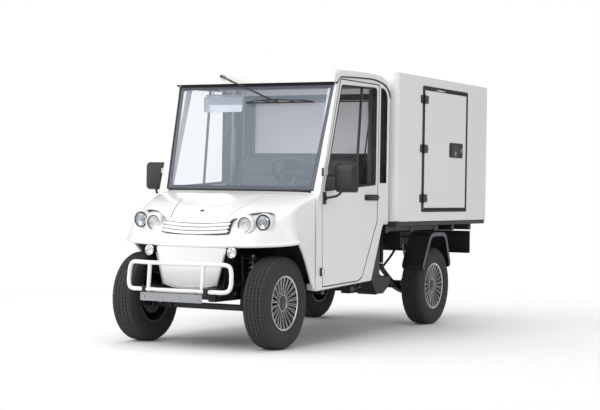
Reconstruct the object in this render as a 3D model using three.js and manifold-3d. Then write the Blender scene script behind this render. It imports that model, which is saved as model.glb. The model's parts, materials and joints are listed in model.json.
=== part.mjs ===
// Electric utility van: a two-seat cab and a closed cargo box on a ladder chassis.
// Millimetres, +Z up. The van faces -Y and +X is its left side. The pieces are laid out
// with y = 0 at the front axle and z = 0 on the ground, and the group moves them back so
// that the origin is the middle of the whole van's box, on the ground.
import * as THREE from "three";
import { mergeVertices } from "three/addons/utils/BufferGeometryUtils.js";
import Module from "manifold-3d";

const wasm = await Module();
wasm.setup();

// ---- Driving dimensions ------------------------------------------------------------
const GAP = 0.3; // between pieces that touch
const DOOR_GAP = 5; // round a door or a lid
const FRONT_END = -450;
const REAR_END = 3108;
const PLATE_Y = 3054; // face of the rear registration plate's place

const WHEELBASE = 2330;
const TYRE_RADIUS = 289;
const TYRE_WIDTH = 165;
const WHEEL_X = 482; // middle plane of a wheel
const RIM_RADIUS = 168;
const KINGPIN_X = 425;
const STUB_RADIUS = 18; // axle stub inside a hub
const TIE_ROD_Y = 75;
const TIE_ROD_Z = 235;

const RAIL = { inner: 200, outer: 250, low: 300, high: 590, depth: 80, rearDepth: 96 };
const SILL_Z = 353;
const SIDE_X = 612; // outer face of the cab side
const SIDE_MID_X = 575; // between the outer skin and the door frame behind it
const SIDE_IN_X = 545;
const DOOR_IN_X = 581;

const SCREEN = { lowHalf: 560, highHalf: 597, lowY: 350, lowZ: 987, highY: 557, highZ: 1692, thick: 5 };
const REAR_WALL_Y = [1345, 1362];
const BULKHEAD_Y = [322, 332];
const FLOOR_Z = [386, 398];
const SEAT_X = 286; // middle of the driver's seat
const SEAT_HALF = 205;

const SHELL = 12; // moulded outer panels
const NOSE = { half: 636, frontY: -250, sideY: 30, lipZ: 630, archZ: 662, power: 1.8 };
const BONNET = { frontHalf: 200, rearHalf: 325, frontY: -150, bulge: 14, rearY: 250 };

const BOX = { half: 662, frontY: 1390, rearY: 3080, lowZ: 783, highZ: 1828, wall: 22, corner: 40 };
const BOX_DOOR = { y0: 1850, y1: 2650, z0: 870, z1: 1740 };
const BOX_HINGE = { x: 672, y: 1838 };
const REAR_HINGE = { x: 650, y: 3088 };

const LAMPS = {
  outer: { x: 453, y: -114, z: 790, r: 42 },
  inner: { x: 337, y: -139, z: 773, r: 48 },
  fog: { x: 303, y: -234, z: 600, r: 31 },
};
const BAR = { half: 371, lowHalf: 375, highZ: 530, lowZ: 364, y: -345, bow: 60, r: 13.5, corner: 48 };

// ---- Finishes ----------------------------------------------------------------------
const finish = (color, roughness, metalness) =>
  new THREE.MeshStandardMaterial({ color, roughness, metalness });
const WHITE = finish(0xf2f2f0, 0.25, 0);
const BLACK = finish(0x17181a, 0.55, 0.2);
const RUBBER = finish(0x24262a, 0.85, 0);
const COVER = finish(0x2a2c30, 0.35, 0.5);
const GLASS = finish(0x6f7f8c, 0.08, 0);
const TRIM = finish(0x1c1d20, 0.6, 0);
const VINYL = finish(0x2d3036, 0.6, 0);
const GREY = finish(0x8d9196, 0.5, 0.6);
const LAMP = finish(0xd7dadd, 0.1, 0.3);
const RED = finish(0x9c1a18, 0.25, 0);

// ---- Joining and cutting -----------------------------------------------------------
function solidOf(geometry) {
  const bare = geometry.clone();
  bare.deleteAttribute("normal");
  bare.deleteAttribute("uv");
  const merged = mergeVertices(bare, 1e-3);
  const vertProperties = new Float32Array(merged.attributes.position.array);
  const triVerts = new Uint32Array(merged.index.array);
  return new wasm.Manifold(new wasm.Mesh({ numProp: 3, vertProperties, triVerts }));
}

function geometryOf(solid) {
  const made = solid.getMesh();
  const geometry = new THREE.BufferGeometry();
  geometry.setAttribute("position", new THREE.BufferAttribute(new Float32Array(made.vertProperties), 3));
  geometry.setIndex(new THREE.BufferAttribute(new Uint32Array(made.triVerts), 1));
  geometry.computeVertexNormals();
  return geometry;
}

const join = (...pieces) => geometryOf(pieces.map(solidOf).reduce((a, b) => a.add(b)));
const common = (a, b) => geometryOf(solidOf(a).intersect(solidOf(b)));
const cut = (piece, ...tools) =>
  geometryOf(tools.map(solidOf).reduce((a, b) => a.subtract(b), solidOf(piece)));

// The same shape on the other side of the van.
function mirrored(geometry) {
  const flat = geometry.index ? geometry.toNonIndexed() : geometry.clone();
  flat.deleteAttribute("normal");
  flat.deleteAttribute("uv");
  flat.scale(-1, 1, 1);
  const p = flat.attributes.position;
  for (let i = 0; i < p.count; i += 3) {
    const [x, y, z] = [p.getX(i), p.getY(i), p.getZ(i)];
    p.setXYZ(i, p.getX(i + 1), p.getY(i + 1), p.getZ(i + 1));
    p.setXYZ(i + 1, x, y, z);
  }
  return flat;
}
const bothSides = (geometry) => join(geometry, mirrored(geometry));

// ---- Basic shapes ------------------------------------------------------------------
const box = (x0, x1, y0, y1, z0, z1) =>
  new THREE.BoxGeometry(x1 - x0, y1 - y0, z1 - z0).translate((x0 + x1) / 2, (y0 + y1) / 2, (z0 + z1) / 2);

const outline = (points) => points.map(([a, b]) => new THREE.Vector2(a, b));

function extruded(points, depth, curveSegments = 4) {
  const shape = points instanceof THREE.Shape ? points : new THREE.Shape(outline(points));
  return new THREE.ExtrudeGeometry(shape, { depth, bevelEnabled: false, curveSegments });
}

// An outline of [y, z] points, from x0 to x1.
function slabX(points, x0, x1) {
  const turn = new THREE.Matrix4().set(0, 0, 1, 0, 1, 0, 0, 0, 0, 1, 0, 0, 0, 0, 0, 1);
  return extruded(points, x1 - x0).applyMatrix4(turn).translate(x0, 0, 0);
}
// An outline of [x, z] points, from y0 to y1.
const slabY = (points, y0, y1) => extruded(points, y1 - y0).rotateX(Math.PI / 2).translate(0, y1, 0);
// An outline of [x, y] points, from z0 to z1.
const slabZ = (points, z0, z1) => extruded(points, z1 - z0).translate(0, 0, z0);

// A round bar from point a to point b.
function rod(a, b, radius, sides = 12) {
  const from = new THREE.Vector3(...a);
  const along = new THREE.Vector3(...b).sub(from);
  const turn = new THREE.Quaternion().setFromUnitVectors(
    new THREE.Vector3(0, 1, 0),
    along.clone().normalize(),
  );
  return new THREE.CylinderGeometry(radius, radius, along.length(), sides)
    .applyQuaternion(turn)
    .translate(...from.addScaledVector(along, 0.5).toArray());
}

// A round tube along a path through the points, each corner rounded to the radius.
function bentTube(points, radius, corner, sides = 10) {
  const at = points.map((p) => new THREE.Vector3(...p));
  const path = new THREE.CurvePath();
  let from = at[0];
  for (let i = 1; i < at.length - 1; i++) {
    const back = at[i - 1].clone().sub(at[i]).setLength(corner).add(at[i]);
    const on = at[i + 1].clone().sub(at[i]).setLength(corner).add(at[i]);
    path.add(new THREE.LineCurve3(from, back));
    path.add(new THREE.QuadraticBezierCurve3(back, at[i], on));
    from = on;
  }
  path.add(new THREE.LineCurve3(from, at[at.length - 1]));
  const circle = new THREE.Shape().absarc(0, 0, radius, 0, 2 * Math.PI);
  return new THREE.ExtrudeGeometry(circle, {
    steps: 3 * points.length,
    curveSegments: sides / 2,
    extrudePath: path,
  });
}

// The outline moved outwards by d; its points run anticlockwise.
function grown(points, d) {
  const n = points.length;
  return points.map((p, i) => {
    const before = new THREE.Vector2(...p).sub(new THREE.Vector2(...points[(i + n - 1) % n])).normalize();
    const after = new THREE.Vector2(...points[(i + 1) % n]).sub(new THREE.Vector2(...p)).normalize();
    const normal = new THREE.Vector2(before.y + after.y, -before.x - after.x).normalize();
    const reach = d / Math.max(0.3, normal.x * after.y - normal.y * after.x);
    return [p[0] + normal.x * reach, p[1] + normal.y * reach];
  });
}

// A rectangle with rounded corners.
function roundedRect(x0, x1, y0, y1, r) {
  const s = new THREE.Shape();
  s.absarc(x1 - r, y0 + r, r, -Math.PI / 2, 0);
  s.absarc(x1 - r, y1 - r, r, 0, Math.PI / 2);
  s.absarc(x0 + r, y1 - r, r, Math.PI / 2, Math.PI);
  s.absarc(x0 + r, y0 + r, r, Math.PI, 1.5 * Math.PI);
  return s;
}

// A shell of even thickness under the surface at(u, v), with u and v from 0 to 1.
function shell(at, nu, nv, thick) {
  const geometry = new THREE.BoxGeometry(1, 1, 1, nu, nv, 1);
  const p = geometry.attributes.position;
  const step = 1e-3;
  for (let i = 0; i < p.count; i++) {
    const [u, v, w] = [p.getX(i) + 0.5, p.getY(i) + 0.5, p.getZ(i) + 0.5];
    const [ua, ub] = [Math.max(u - step, 0), Math.min(u + step, 1)];
    const [va, vb] = [Math.max(v - step, 0), Math.min(v + step, 1)];
    const normal = at(ub, v).sub(at(ua, v)).cross(at(u, vb).sub(at(u, va))).normalize();
    const place = at(u, v).addScaledVector(normal, (w - 1) * thick);
    p.setXYZ(i, place.x, place.y, place.z);
  }
  return geometry;
}

// ---- Scene graph -------------------------------------------------------------------
const van = new THREE.Group();
const layout = new THREE.Group();
layout.position.y = -(FRONT_END + REAR_END) / 2;
van.add(layout);

function add(name, geometry, material, parent = layout) {
  const mesh = new THREE.Mesh(geometry, material);
  mesh.name = name;
  parent.add(mesh);
  return mesh;
}

// A piece on the left side and its mirror image on the right.
function addPair(name, geometry, material) {
  add(name + "_left", geometry, material);
  add(name + "_right", geometry, material).scale.x = -1;
}

// ---- Wheels ------------------------------------------------------------------------
// Both profiles run from the inner side to the outer side, as [radius, distance outwards].
function tyreGeometry() {
  const half = TYRE_WIDTH / 2;
  const profile = [
    [RIM_RADIUS + 1, -half + 14],
    [238, -half],
    [272, -half + 10],
    [TYRE_RADIUS, -half + 26],
    [TYRE_RADIUS, half - 26],
    [272, half - 10],
    [238, half],
    [RIM_RADIUS + 1, half - 14],
    [RIM_RADIUS + 1, -half + 14],
  ];
  return new THREE.LatheGeometry(outline(profile), 32).rotateZ(-Math.PI / 2);
}

function rimGeometry() {
  const profile = [
    [0, -6],
    [STUB_RADIUS + 4, -6],
    [STUB_RADIUS + 4, -30],
    [46, -30],
    [50, 12],
    [150, 18],
    [152, -68],
    [RIM_RADIUS, -68],
    [RIM_RADIUS, 68],
    [60, 40],
    [0, 54],
  ];
  return new THREE.LatheGeometry(outline(profile), 18).rotateZ(-Math.PI / 2);
}

function addWheels() {
  const tyre = tyreGeometry();
  const rim = rimGeometry();
  for (const [end, y] of [["front", 0], ["rear", WHEELBASE]]) {
    for (const [side, sign] of [["left", 1], ["right", -1]]) {
      const wheel = new THREE.Group();
      wheel.position.set(sign * WHEEL_X, y, TYRE_RADIUS);
      wheel.scale.x = sign;
      layout.add(wheel);
      add(`tyre_${end}_${side}`, tyre, RUBBER, wheel);
      add(`rim_${end}_${side}`, rim, COVER, wheel);
    }
  }
}

// ---- Chassis and running gear ------------------------------------------------------
function chassisGeometry() {
  const { inner, outer, low, high, depth, rearDepth } = RAIL;
  const side = [
    [-335, low],
    [1330, low],
    [1560, high],
    [3030, high],
    [3030, high + rearDepth],
    [1500, high + rearDepth],
    [1285, low + depth],
    [-335, low + depth],
  ];
  const rail = slabX(side, inner, outer);
  const outriggers = [470, 900].map((y) => box(outer - 2, 560, y, y + 50, 318, 348));
  const hangers = [1822, 2802].map((y) => box(outer - 2, 350, y, y + 36, 470, high + 30));
  const crossLow = [-320, 150, 640, 1180].map((y) => box(-inner - 2, inner + 2, y, y + 50, 310, 370));
  const crossHigh = [1620, 2080, 2620, 2975].map((y) => box(-inner - 2, inner + 2, y, y + 50, 600, 670));
  return join(rail, mirrored(rail), ...outriggers, ...outriggers.map(mirrored), ...hangers,
    ...hangers.map(mirrored), ...crossLow, ...crossHigh);
}

// The steel frame that carries the cargo box: two bearers, cross bars and the edge frame.
function boxFrameGeometry() {
  const top = BOX.lowZ - GAP;
  const low = top - 30;
  const bearer = box(RAIL.inner, RAIL.outer, 1420, 3012, RAIL.high + RAIL.rearDepth + GAP, low + 2);
  const bars = [1440, 1870, 2300, 2640, 2990].map((y) => box(-560, 560, y, y + 45, 702, low + 2));
  const rim = cut(
    box(-656, 656, BOX.frontY + 6, BOX.rearY - 4, low, top),
    box(-600, 600, BOX.frontY + 60, BOX.rearY - 60, low - 1, top + 1),
  );
  const braces = [1870, 2300, 2640].map((y) => box(-602, 602, y, y + 45, low, top));
  return join(rim, bearer, mirrored(bearer), ...bars, ...braces);
}

function frontAxleGeometry() {
  const half = [[-386, -32], [386, -32], [398, -12], [398, 12], [386, 32], [-386, 32], [-398, 12], [-398, -12]];
  const beam = slabZ(half, 225, 265);
  const plate = box(254, 272, -50, 50, 226, 585);
  const link = box(270, 398, -22, 22, 332, 350);
  const spring = rod([320, 0, 262], [320, 0, 560], 38, 14);
  const cap = box(256, 372, -46, 46, 556, 570);
  return join(beam, bothSides(join(plate, link, spring, cap)));
}

// Upright, axle stub and steering arm, on the left side.
function knuckleGeometry() {
  const upright = rod([KINGPIN_X, 0, 205], [KINGPIN_X, 0, 375], 17, 14);
  const stub = rod([KINGPIN_X, 0, TYRE_RADIUS], [WHEEL_X - 10, 0, TYRE_RADIUS], STUB_RADIUS, 14);
  const arm = box(KINGPIN_X - 9, KINGPIN_X + 9, 0, TIE_ROD_Y + 10, 250, 264);
  return join(upright, stub, arm);
}

function tieRodGeometry() {
  const half = KINGPIN_X;
  const bar = rod([-half, TIE_ROD_Y, TIE_ROD_Z], [half, TIE_ROD_Y, TIE_ROD_Z], 7, 10);
  const eye = rod([half, TIE_ROD_Y, TIE_ROD_Z - 9], [half, TIE_ROD_Y, TIE_ROD_Z + 9], 11, 12);
  return join(bar, bothSides(eye));
}

// A leaf spring as an arched bar with an eye at each end.
function leafSpringGeometry() {
  const span = 490;
  const points = [];
  const steps = 8;
  const height = (s) => 232 + 205 * Math.pow(Math.abs(s), 1.7);
  for (let i = -steps; i <= steps; i++) points.push([WHEELBASE + (span * i) / steps, height(i / steps)]);
  for (let i = steps; i >= -steps; i--) {
    const s = i / steps;
    points.push([WHEELBASE + span * s, height(s) + 14 + 22 * (1 - Math.abs(s))]);
  }
  const leaf = slabX(points, 305, 350);
  const eyes = [-1, 1].map((s) => {
    const y = WHEELBASE + s * span;
    return rod([303, y, 445], [352, y, 445], 20, 12);
  });
  return join(leaf, ...eyes);
}

function rearAxleGeometry() {
  const z = TYRE_RADIUS;
  const tube = rod([-400, WHEELBASE, z], [400, WHEELBASE, z], 32, 16);
  const stub = rod([-WHEEL_X + 10, WHEELBASE, z], [WHEEL_X - 10, WHEELBASE, z], STUB_RADIUS, 14);
  const gearbox = rod([-75, WHEELBASE, z], [75, WHEELBASE, z], 92, 18);
  const motor = rod([0, WHEELBASE - 330, z + 18], [0, WHEELBASE - 60, z + 18], 84, 18);
  return join(tube, stub, gearbox, motor, bothSides(leafSpringGeometry()));
}

// Black sheet over a rear wheel, with a turned-down outer edge.
function mudguardGeometry() {
  const path = [[2042, 425], [2212, 687], [2502, 687], [2618, 423]];
  const thick = 4;
  const under = path.map(([y, z], i) => {
    const shift = [[3.4, -2.2], [2.2, -thick], [-2.4, -thick], [-3.7, -1.6]][i];
    return [y + shift[0], z + shift[1]];
  });
  const sheet = slabX([...under, ...[...path].reverse()], 392, 574);
  const lipDepth = 20;
  const edge = path.map(([y, z], i) => [y + [17, 9, -10, -18][i], z - [8, lipDepth, lipDepth, 8][i]]);
  const lip = slabX([...edge, ...[...path].reverse()], 570, 576);
  return join(sheet, lip);
}

// ---- Cab structure -----------------------------------------------------------------
// All outlines are [y, z], anticlockwise.
const DOOR_OUTLINE = [
  [389, 377], [900, 392], [945, 402], [972, 425], [1191, 792], [1191, 1710], [1180, 1722],
  [608, 1722], [600, 1714], [371, 984], [366, 960],
];
const DOOR_JAMB = [
  [415, 402], [890, 415], [925, 425], [952, 446], [1166, 800], [1166, 1694], [634, 1694], [396, 975],
];
const DOOR_WINDOW = [
  [398, 992], [1152, 1040], [1152, 1688], [1140, 1697], [632, 1684], [618, 1672],
];
const QUARTER_WINDOW = [
  [1220, 1050], [1330, 1050], [1330, 1640], [1321, 1668], [1296, 1692], [1262, 1704], [1220, 1706],
];
const SIDE_OUTLINE = [
  [300, SILL_Z], [1109, 385], [1267, 738], [1290, 765], [1365, 765], [1365, 1672], [1345, 1690],
  [1294, 1727], [1180, 1745], [1048, 1754], [599, 1735], [560, 1702], [545, 1690], [338, 985],
  [296, 932],
];

// The windscreen's volume, grown by g on every side.
function screenPlate(g = 0) {
  const { lowHalf, highHalf, lowY, lowZ, highY, highZ, thick } = SCREEN;
  const height = Math.hypot(highY - lowY, highZ - lowZ);
  const corners = [[-lowHalf - g, -g], [lowHalf + g, -g], [highHalf + g, height + g], [-highHalf - g, height + g]];
  return slabZ(corners, -thick - g, g ? 40 : 0)
    .rotateX(Math.atan2(highZ - lowZ, highY - lowY))
    .translate(0, lowY, lowZ);
}

function cabFrameGeometry() {
  const skin = slabX(SIDE_OUTLINE, SIDE_MID_X, SIDE_X);
  const inner = slabX(grown(SIDE_OUTLINE, -3), SIDE_IN_X, SIDE_MID_X + 1);
  const side = cut(
    join(skin, inner),
    slabX(grown(DOOR_OUTLINE, DOOR_GAP), SIDE_MID_X, SIDE_X + 1),
    slabX(DOOR_JAMB, SIDE_IN_X - 1, SIDE_MID_X + 2),
    slabX(QUARTER_WINDOW, SIDE_IN_X - 1, SIDE_X + 1),
  );
  const header = slabX([[566, 1684], [612, 1684], [612, 1728], [594, 1728], [566, 1700]], -SIDE_IN_X - 2, SIDE_IN_X + 2);
  const rearHeader = box(-SIDE_IN_X - 2, SIDE_IN_X + 2, 1290, 1340, 1672, 1710);
  const cowl = slabX([[345, 925], [400, 925], [400, 972], [358, 972]], -SIDE_IN_X - 2, SIDE_IN_X + 2);
  return cut(join(side, mirrored(side), header, rearHeader, cowl), screenPlate(0.4));
}

function roofGeometry() {
  const side = (g) => [
    [508 + g, 1701], [514 + g, 1768], [530 + g, 1792 - g], [570, 1808 - g], [760, 1817 - g],
    [1160, 1819 - g], [1300, 1810 - g], [1348 - g, 1785 - g], [1362 - g, 1740], [1366 - g, 1676],
    [1349, 1693], [1297, 1730], [1181, 1748], [1048, 1757], [597, 1738], [552, 1703],
  ];
  const front = (g) => {
    const half = [
      [616 - g, 1640], [616 - g, 1752], [606 - g, 1786 - g], [580 - g, 1804 - g], [520, 1811 - g],
      [300, 1817 - g], [0, 1820 - g],
    ];
    return [...half, ...half.slice(0, -1).reverse().map(([x, z]) => [-x, z])];
  };
  const outer = common(slabX(side(0).reverse(), -650, 650), slabY(front(0), 480, 1400));
  const hollow = [
    [524, 1690], [528, 1764], [540, 1781], [575, 1796], [760, 1805], [1160, 1807], [1296, 1798],
    [1338, 1776], [1350, 1736], [1352, 1600], [524, 1600],
  ];
  const inside = common(slabX([...hollow].reverse(), -650, 650), slabY(front(14), 480, 1400));
  return cut(outer, inside);
}

function rearWallGeometry() {
  const [y0, y1] = REAR_WALL_Y;
  const x = SIDE_IN_X - 1;
  return cut(
    box(-x, x, y0, y1, 752, 1670),
    slabY(roundedRect(-462, 462, 1252, 1625, 14), y0 - 1, y1 + 1),
  );
}

function rearWindowGeometry() {
  const [y0] = REAR_WALL_Y;
  return slabY(roundedRect(-462 + GAP, 462 - GAP, 1252 + GAP, 1625 - GAP, 14), y0 + 6, y0 + 11);
}

// Upright wall behind the front wheels, with the shelf over them.
function bulkheadGeometry() {
  const [y0, y1] = BULKHEAD_Y;
  const x = SIDE_IN_X - 1;
  const shelf = [
    [-530, 40], [-400, -100], [-240, -175], [240, -175], [400, -100], [530, 40], [530, y0 + 2], [-530, y0 + 2],
  ];
  const braces = [-228, 218].map((at) => slabX([[-200, 381], [y0 + 2, 381], [y0 + 2, 660], [-150, 660]], at, at + 10));
  return join(box(-x, x, y0, y1, FLOOR_Z[0], 915), slabZ(shelf, 654, 662), ...braces);
}

function floorGeometry() {
  const [z0, z1] = FLOOR_Z;
  const x = SIDE_IN_X - 1;
  return join(
    box(-x, x, BULKHEAD_Y[1] + GAP, 762, z0, z1),
    box(-x, x, 742, 762, z1 - 2, z1 + 30),
  );
}

// The seat's plinth, open below: it covers the battery, and its back follows the cab's slant.
function seatBoxGeometry() {
  const outer = [
    [764, 400], [776, 400], [776, 690], [1225, 690], [1090, 400], [1107, 400], [1262, 738],
    [1340, 738], [1340, 750], [1238, 750], [1225, 702], [764, 702],
  ];
  const x = SIDE_IN_X - 1;
  const band = slabX(outer, -x, x);
  const end = slabX([[770, 400], [1096, 400], [1231, 696], [770, 696]], x - 12, x);
  return join(band, bothSides(end));
}

function dashboardGeometry() {
  const x = SIDE_IN_X - 3;
  const main = slabX(
    [[336, 800], [430, 790], [470, 850], [478, 930], [452, 968], [404, 980], [402, 920], [336, 920]],
    -x, x,
  );
  const cluster = slabX([[420, 900], [480, 930], [472, 1000], [440, 1022], [420, 1010]], SEAT_X - 130, SEAT_X + 110);
  const column = rod([286, 430, 822], [286, 608, 1070], 24, 14);
  return join(main, cluster, column);
}

function steeringWheelGeometry() {
  const ring = new THREE.TorusGeometry(172, 12, 6, 22);
  const spokes = [0, 120, 240].map((turn) =>
    box(-14, 14, -4, 168, -6, 6).rotateZ(THREE.MathUtils.degToRad(turn + 60)));
  const hub = rod([0, 0, -26], [0, 0, 12], 40, 16);
  return join(ring, ...spokes, hub);
}

function seatGeometries() {
  const x0 = SEAT_X - SEAT_HALF;
  const x1 = SEAT_X + SEAT_HALF;
  const cushion = slabX([[748, 706], [1150, 706], [1150, 778], [1050, 790], [790, 806], [752, 790]], x0, x1);
  const back = slabX([[1152, 712], [1222, 712], [1266, 1245], [1240, 1277], [1200, 1269], [1163, 1215]], x0, x1);
  return { cushion, back };
}

// ---- Front body --------------------------------------------------------------------
const mix = THREE.MathUtils.lerp;

// The outer surface of the front body: u runs round the nose from the right door post to the
// left one, v from the lower lip up to the cowl. Each v line is a cubic curve.
function noseSurface(u, v) {
  const s = 4 * u - 2;
  const sign = Math.sign(s) || 1;
  const a = Math.min(Math.abs(s), 1);
  const b = Math.max(Math.abs(s) - 1, 0);
  const turn = (a * Math.PI) / 2;
  const e = 2 / NOSE.power;
  const across = Math.pow(Math.sin(turn), e);
  const ahead = Math.pow(Math.max(Math.cos(turn), 0), e);
  const corner = Math.pow(a, 6);

  const lip = new THREE.Vector3(
    NOSE.half * across,
    NOSE.sideY - (NOSE.sideY - NOSE.frontY) * ahead,
    mix(NOSE.lipZ, NOSE.archZ, a * a),
  );
  const top = new THREE.Vector3(603 * Math.sin(turn), 338 - 50 * corner, 983 - 50 * corner);
  const low = new THREE.Vector3(lip.x * (1 - 0.07 * a), lip.y + 60 * (1 - a), 800 - 10 * a);
  const high = new THREE.Vector3(lip.x * (1 - 0.15 * a), mix(-170, 120, a ** 3), 880 - 20 * a);

  if (b > 0) {
    lip.set(NOSE.half - 40 * b, NOSE.sideY + 262 * b, NOSE.archZ - 300 * b + 22 * Math.sin(Math.PI * b));
    top.set(603 + 4 * b, 288, 933 - 545 * b);
    const flat = Math.min(1, 3 * b);
    low.lerp(lip.clone().lerp(top, 1 / 3), flat);
    high.lerp(lip.clone().lerp(top, 2 / 3), flat);
  }
  const point = new THREE.CubicBezierCurve3(lip, low, high, top).getPoint(v);
  point.x *= sign;
  return point;
}

const bonnetOutline = (g) => [
  [-BONNET.frontHalf - g, BONNET.frontY - g], [-100, BONNET.frontY - 0.8 * BONNET.bulge - g],
  [0, BONNET.frontY - BONNET.bulge - g], [100, BONNET.frontY - 0.8 * BONNET.bulge - g],
  [BONNET.frontHalf + g, BONNET.frontY - g], [BONNET.rearHalf + g, BONNET.rearY + g],
  [-BONNET.rearHalf - g, BONNET.rearY + g],
];

// The lamp's barrel, from its lens back into the body.
const lampBarrel = ({ x, y, z, r }, g = 0, depth = 60) => rod([x, y - 30, z], [x, y + depth, z], r + g, 14);

function headlampGeometry() {
  return join(
    rod([LAMPS.outer.x, LAMPS.outer.y - 6, LAMPS.outer.z], [LAMPS.outer.x, LAMPS.outer.y + 50, LAMPS.outer.z], LAMPS.outer.r, 14),
    rod([LAMPS.inner.x, LAMPS.inner.y - 6, LAMPS.inner.z], [LAMPS.inner.x, LAMPS.inner.y + 60, LAMPS.inner.z], LAMPS.inner.r, 14),
    box(LAMPS.inner.x, LAMPS.outer.x, -95, -80, 760, 800),
  );
}

function frontPanels() {
  const whole = shell(noseSurface, 26, 9, SHELL);
  const lid = common(whole, slabZ(bonnetOutline(0), 600, 1100));
  const holes = join(
    lampBarrel(LAMPS.outer, 2, 120),
    lampBarrel(LAMPS.inner, 2, 120),
    box(LAMPS.inner.x, LAMPS.outer.x, -190, -60, 757, 803),
  );
  const post = slabX(grown(SIDE_OUTLINE, 1), SIDE_IN_X - 1, SIDE_X + 40);
  const opening = slabZ(bonnetOutline(DOOR_GAP), 600, 1100);
  const body = cut(whole, opening, holes, mirrored(holes), post, mirrored(post));
  return { lid, body };
}

// The chin below the lip, narrower towards its foot.
function skirtSurface(u, v) {
  const s = 2 * u - 1;
  const z = mix(390 - 28 * (1 - s * s), 625, v);
  const half = mix(186, 254, Math.min(1, (z - 362) / 244));
  return new THREE.Vector3(half * s, -258 + 28 * Math.pow(Math.abs(s), 2.4) + 6 * v, z);
}

function fogLampGeometry() {
  const { x, y, z, r } = LAMPS.fog;
  return join(
    rod([x, y, z], [x, y + 34, z], r, 14),
    box(x - 8, x + 8, y + 18, y + 60, z - 6, z + 6),
    box(x - 60, x + 8, y + 50, y + 62, z - 6, z + 16),
  );
}

// A bowed bar between two corners, as points from the right to the left.
function bowedBar(half, z, y) {
  return [-1, -0.5, 0, 0.5, 1].map((s) => [half * s, y - BAR.bow * (1 - s * s), z]);
}

function bullBarGeometry() {
  const { half, lowHalf, highZ, lowZ, y, r, corner } = BAR;
  const top = bowedBar(half, highZ, y);
  const foot = bowedBar(lowHalf, lowZ, y - 15).reverse();
  const halfLoop = (side) => {
    const points = [...top.slice(2), ...foot.slice(0, 3)];
    points[0] = [-2, ...points[0].slice(1)];
    points[points.length - 1] = [-2, ...points[points.length - 1].slice(1)];
    const tube = bentTube(points, r, corner, 10);
    return side > 0 ? tube : mirrored(tube);
  };
  const upright = rod([195, y - 44, highZ], [195, y - 60, lowZ], r - 1, 12);
  const bracket = box(212, 236, y - 52, -338, lowZ - 8, lowZ + 8);
  const tab = join(
    box(150, 174, FRONT_END + 5 + GAP, y - 55, 340, 352),
    box(150, 174, FRONT_END + 5 + GAP, FRONT_END + 12, 305, 345),
  );
  return join(halfLoop(1), halfLoop(-1), bothSides(upright), bothSides(bracket), bothSides(tab));
}

function wiperGeometry() {
  const pivot = [-226, 494, 1749];
  const blade = rod([-39, 496, 1574], [474, 496, 1574], 6, 8);
  const arm = rod(pivot, [190, 486, 1574], 7, 8);
  const hinge = rod([-226, 480, 1749], [-226, 507, 1749], 15, 14);
  const clip = box(178, 202, 480, 500, 1564, 1584);
  return join(blade, arm, hinge, clip);
}

// ---- Doors -------------------------------------------------------------------------
function doorGeometry() {
  const leaf = slabX(DOOR_OUTLINE, DOOR_IN_X, SIDE_X);
  const hinges = [472, 1112].map((z) => rod([620, 352, z - 28], [620, 352, z + 28], 7, 10));
  const straps = [[472, 424], [1112, 434]].map(([z, end]) => join(
    box(SIDE_X + GAP, 622, 350, end, z - 18, z + 18),
    box(SIDE_X - 1, SIDE_X + 2, end - 15, end, z - 18, z + 18),
  ));
  const handle = join(
    box(SIDE_X - 1, 640, 1010, 1030, 940, 960),
    box(SIDE_X - 1, 640, 1140, 1160, 940, 960),
    box(630, 642, 1000, 1172, 938, 962),
  );
  return join(cut(leaf, slabX(DOOR_WINDOW, DOOR_IN_X - 1, SIDE_X + 1)), ...hinges, ...straps, handle);
}

function mirrorGeometry() {
  const housing = slabY(roundedRect(728 - 74, 728 + 74, 1077 - 91, 1077 + 91, 22), 440, 500);
  const arm = bentTube([[SIDE_X + 6, 392, 965], [700, 430, 965], [720, 470, 1040]], 8, 16, 8);
  const foot = box(SIDE_X + GAP, SIDE_X + 10, 376, 408, 905, 985);
  return join(housing, arm, foot);
}

function boxDoorGeometry() {
  const { y0, y1, z0, z1 } = BOX_DOOR;
  const leaf = box(BOX.half - BOX.wall + 2, BOX.half + 2, y0, y1, z0, z1);
  const at = [948, 1307, 1663];
  const barrels = at.map((z) => rod([BOX_HINGE.x, BOX_HINGE.y, z - 35], [BOX_HINGE.x, BOX_HINGE.y, z + 35], 7, 10));
  const straps = at.map((z) => box(BOX.half + 1, BOX_HINGE.x + 2, BOX_HINGE.y, y0 + 70, z - 28, z + 28));
  const latch = box(BOX.half + 1, BOX.half + 12, 2322, 2578, 1256, 1366);
  return join(leaf, ...barrels, ...straps, latch);
}

function rearDoorGeometry() {
  const leaf = box(3, 634, 3052, 3078, 814, 1800);
  const at = [900, 1307, 1714];
  const barrels = at.map((z) => rod([REAR_HINGE.x, REAR_HINGE.y, z - 35], [REAR_HINGE.x, REAR_HINGE.y, z + 35], 7, 10));
  const straps = at.map((z) => join(
    box(560, REAR_HINGE.x, BOX.rearY + GAP, REAR_HINGE.y + 2, z - 25, z + 25),
    box(560, 630, 3077, BOX.rearY + 1, z - 25, z + 25),
  ));
  const lockRod = rod([40, 3098, 830], [40, 3098, 1784], 9, 10);
  const guides = [860, 1307, 1750].map((z) => box(24, 56, 3077, REAR_END - 3, z - 14, z + 14));
  const grip = box(30, 190, 3096, REAR_END, 1180, 1204);
  return join(leaf, ...barrels, ...straps, lockRod, ...guides, grip);
}

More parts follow.
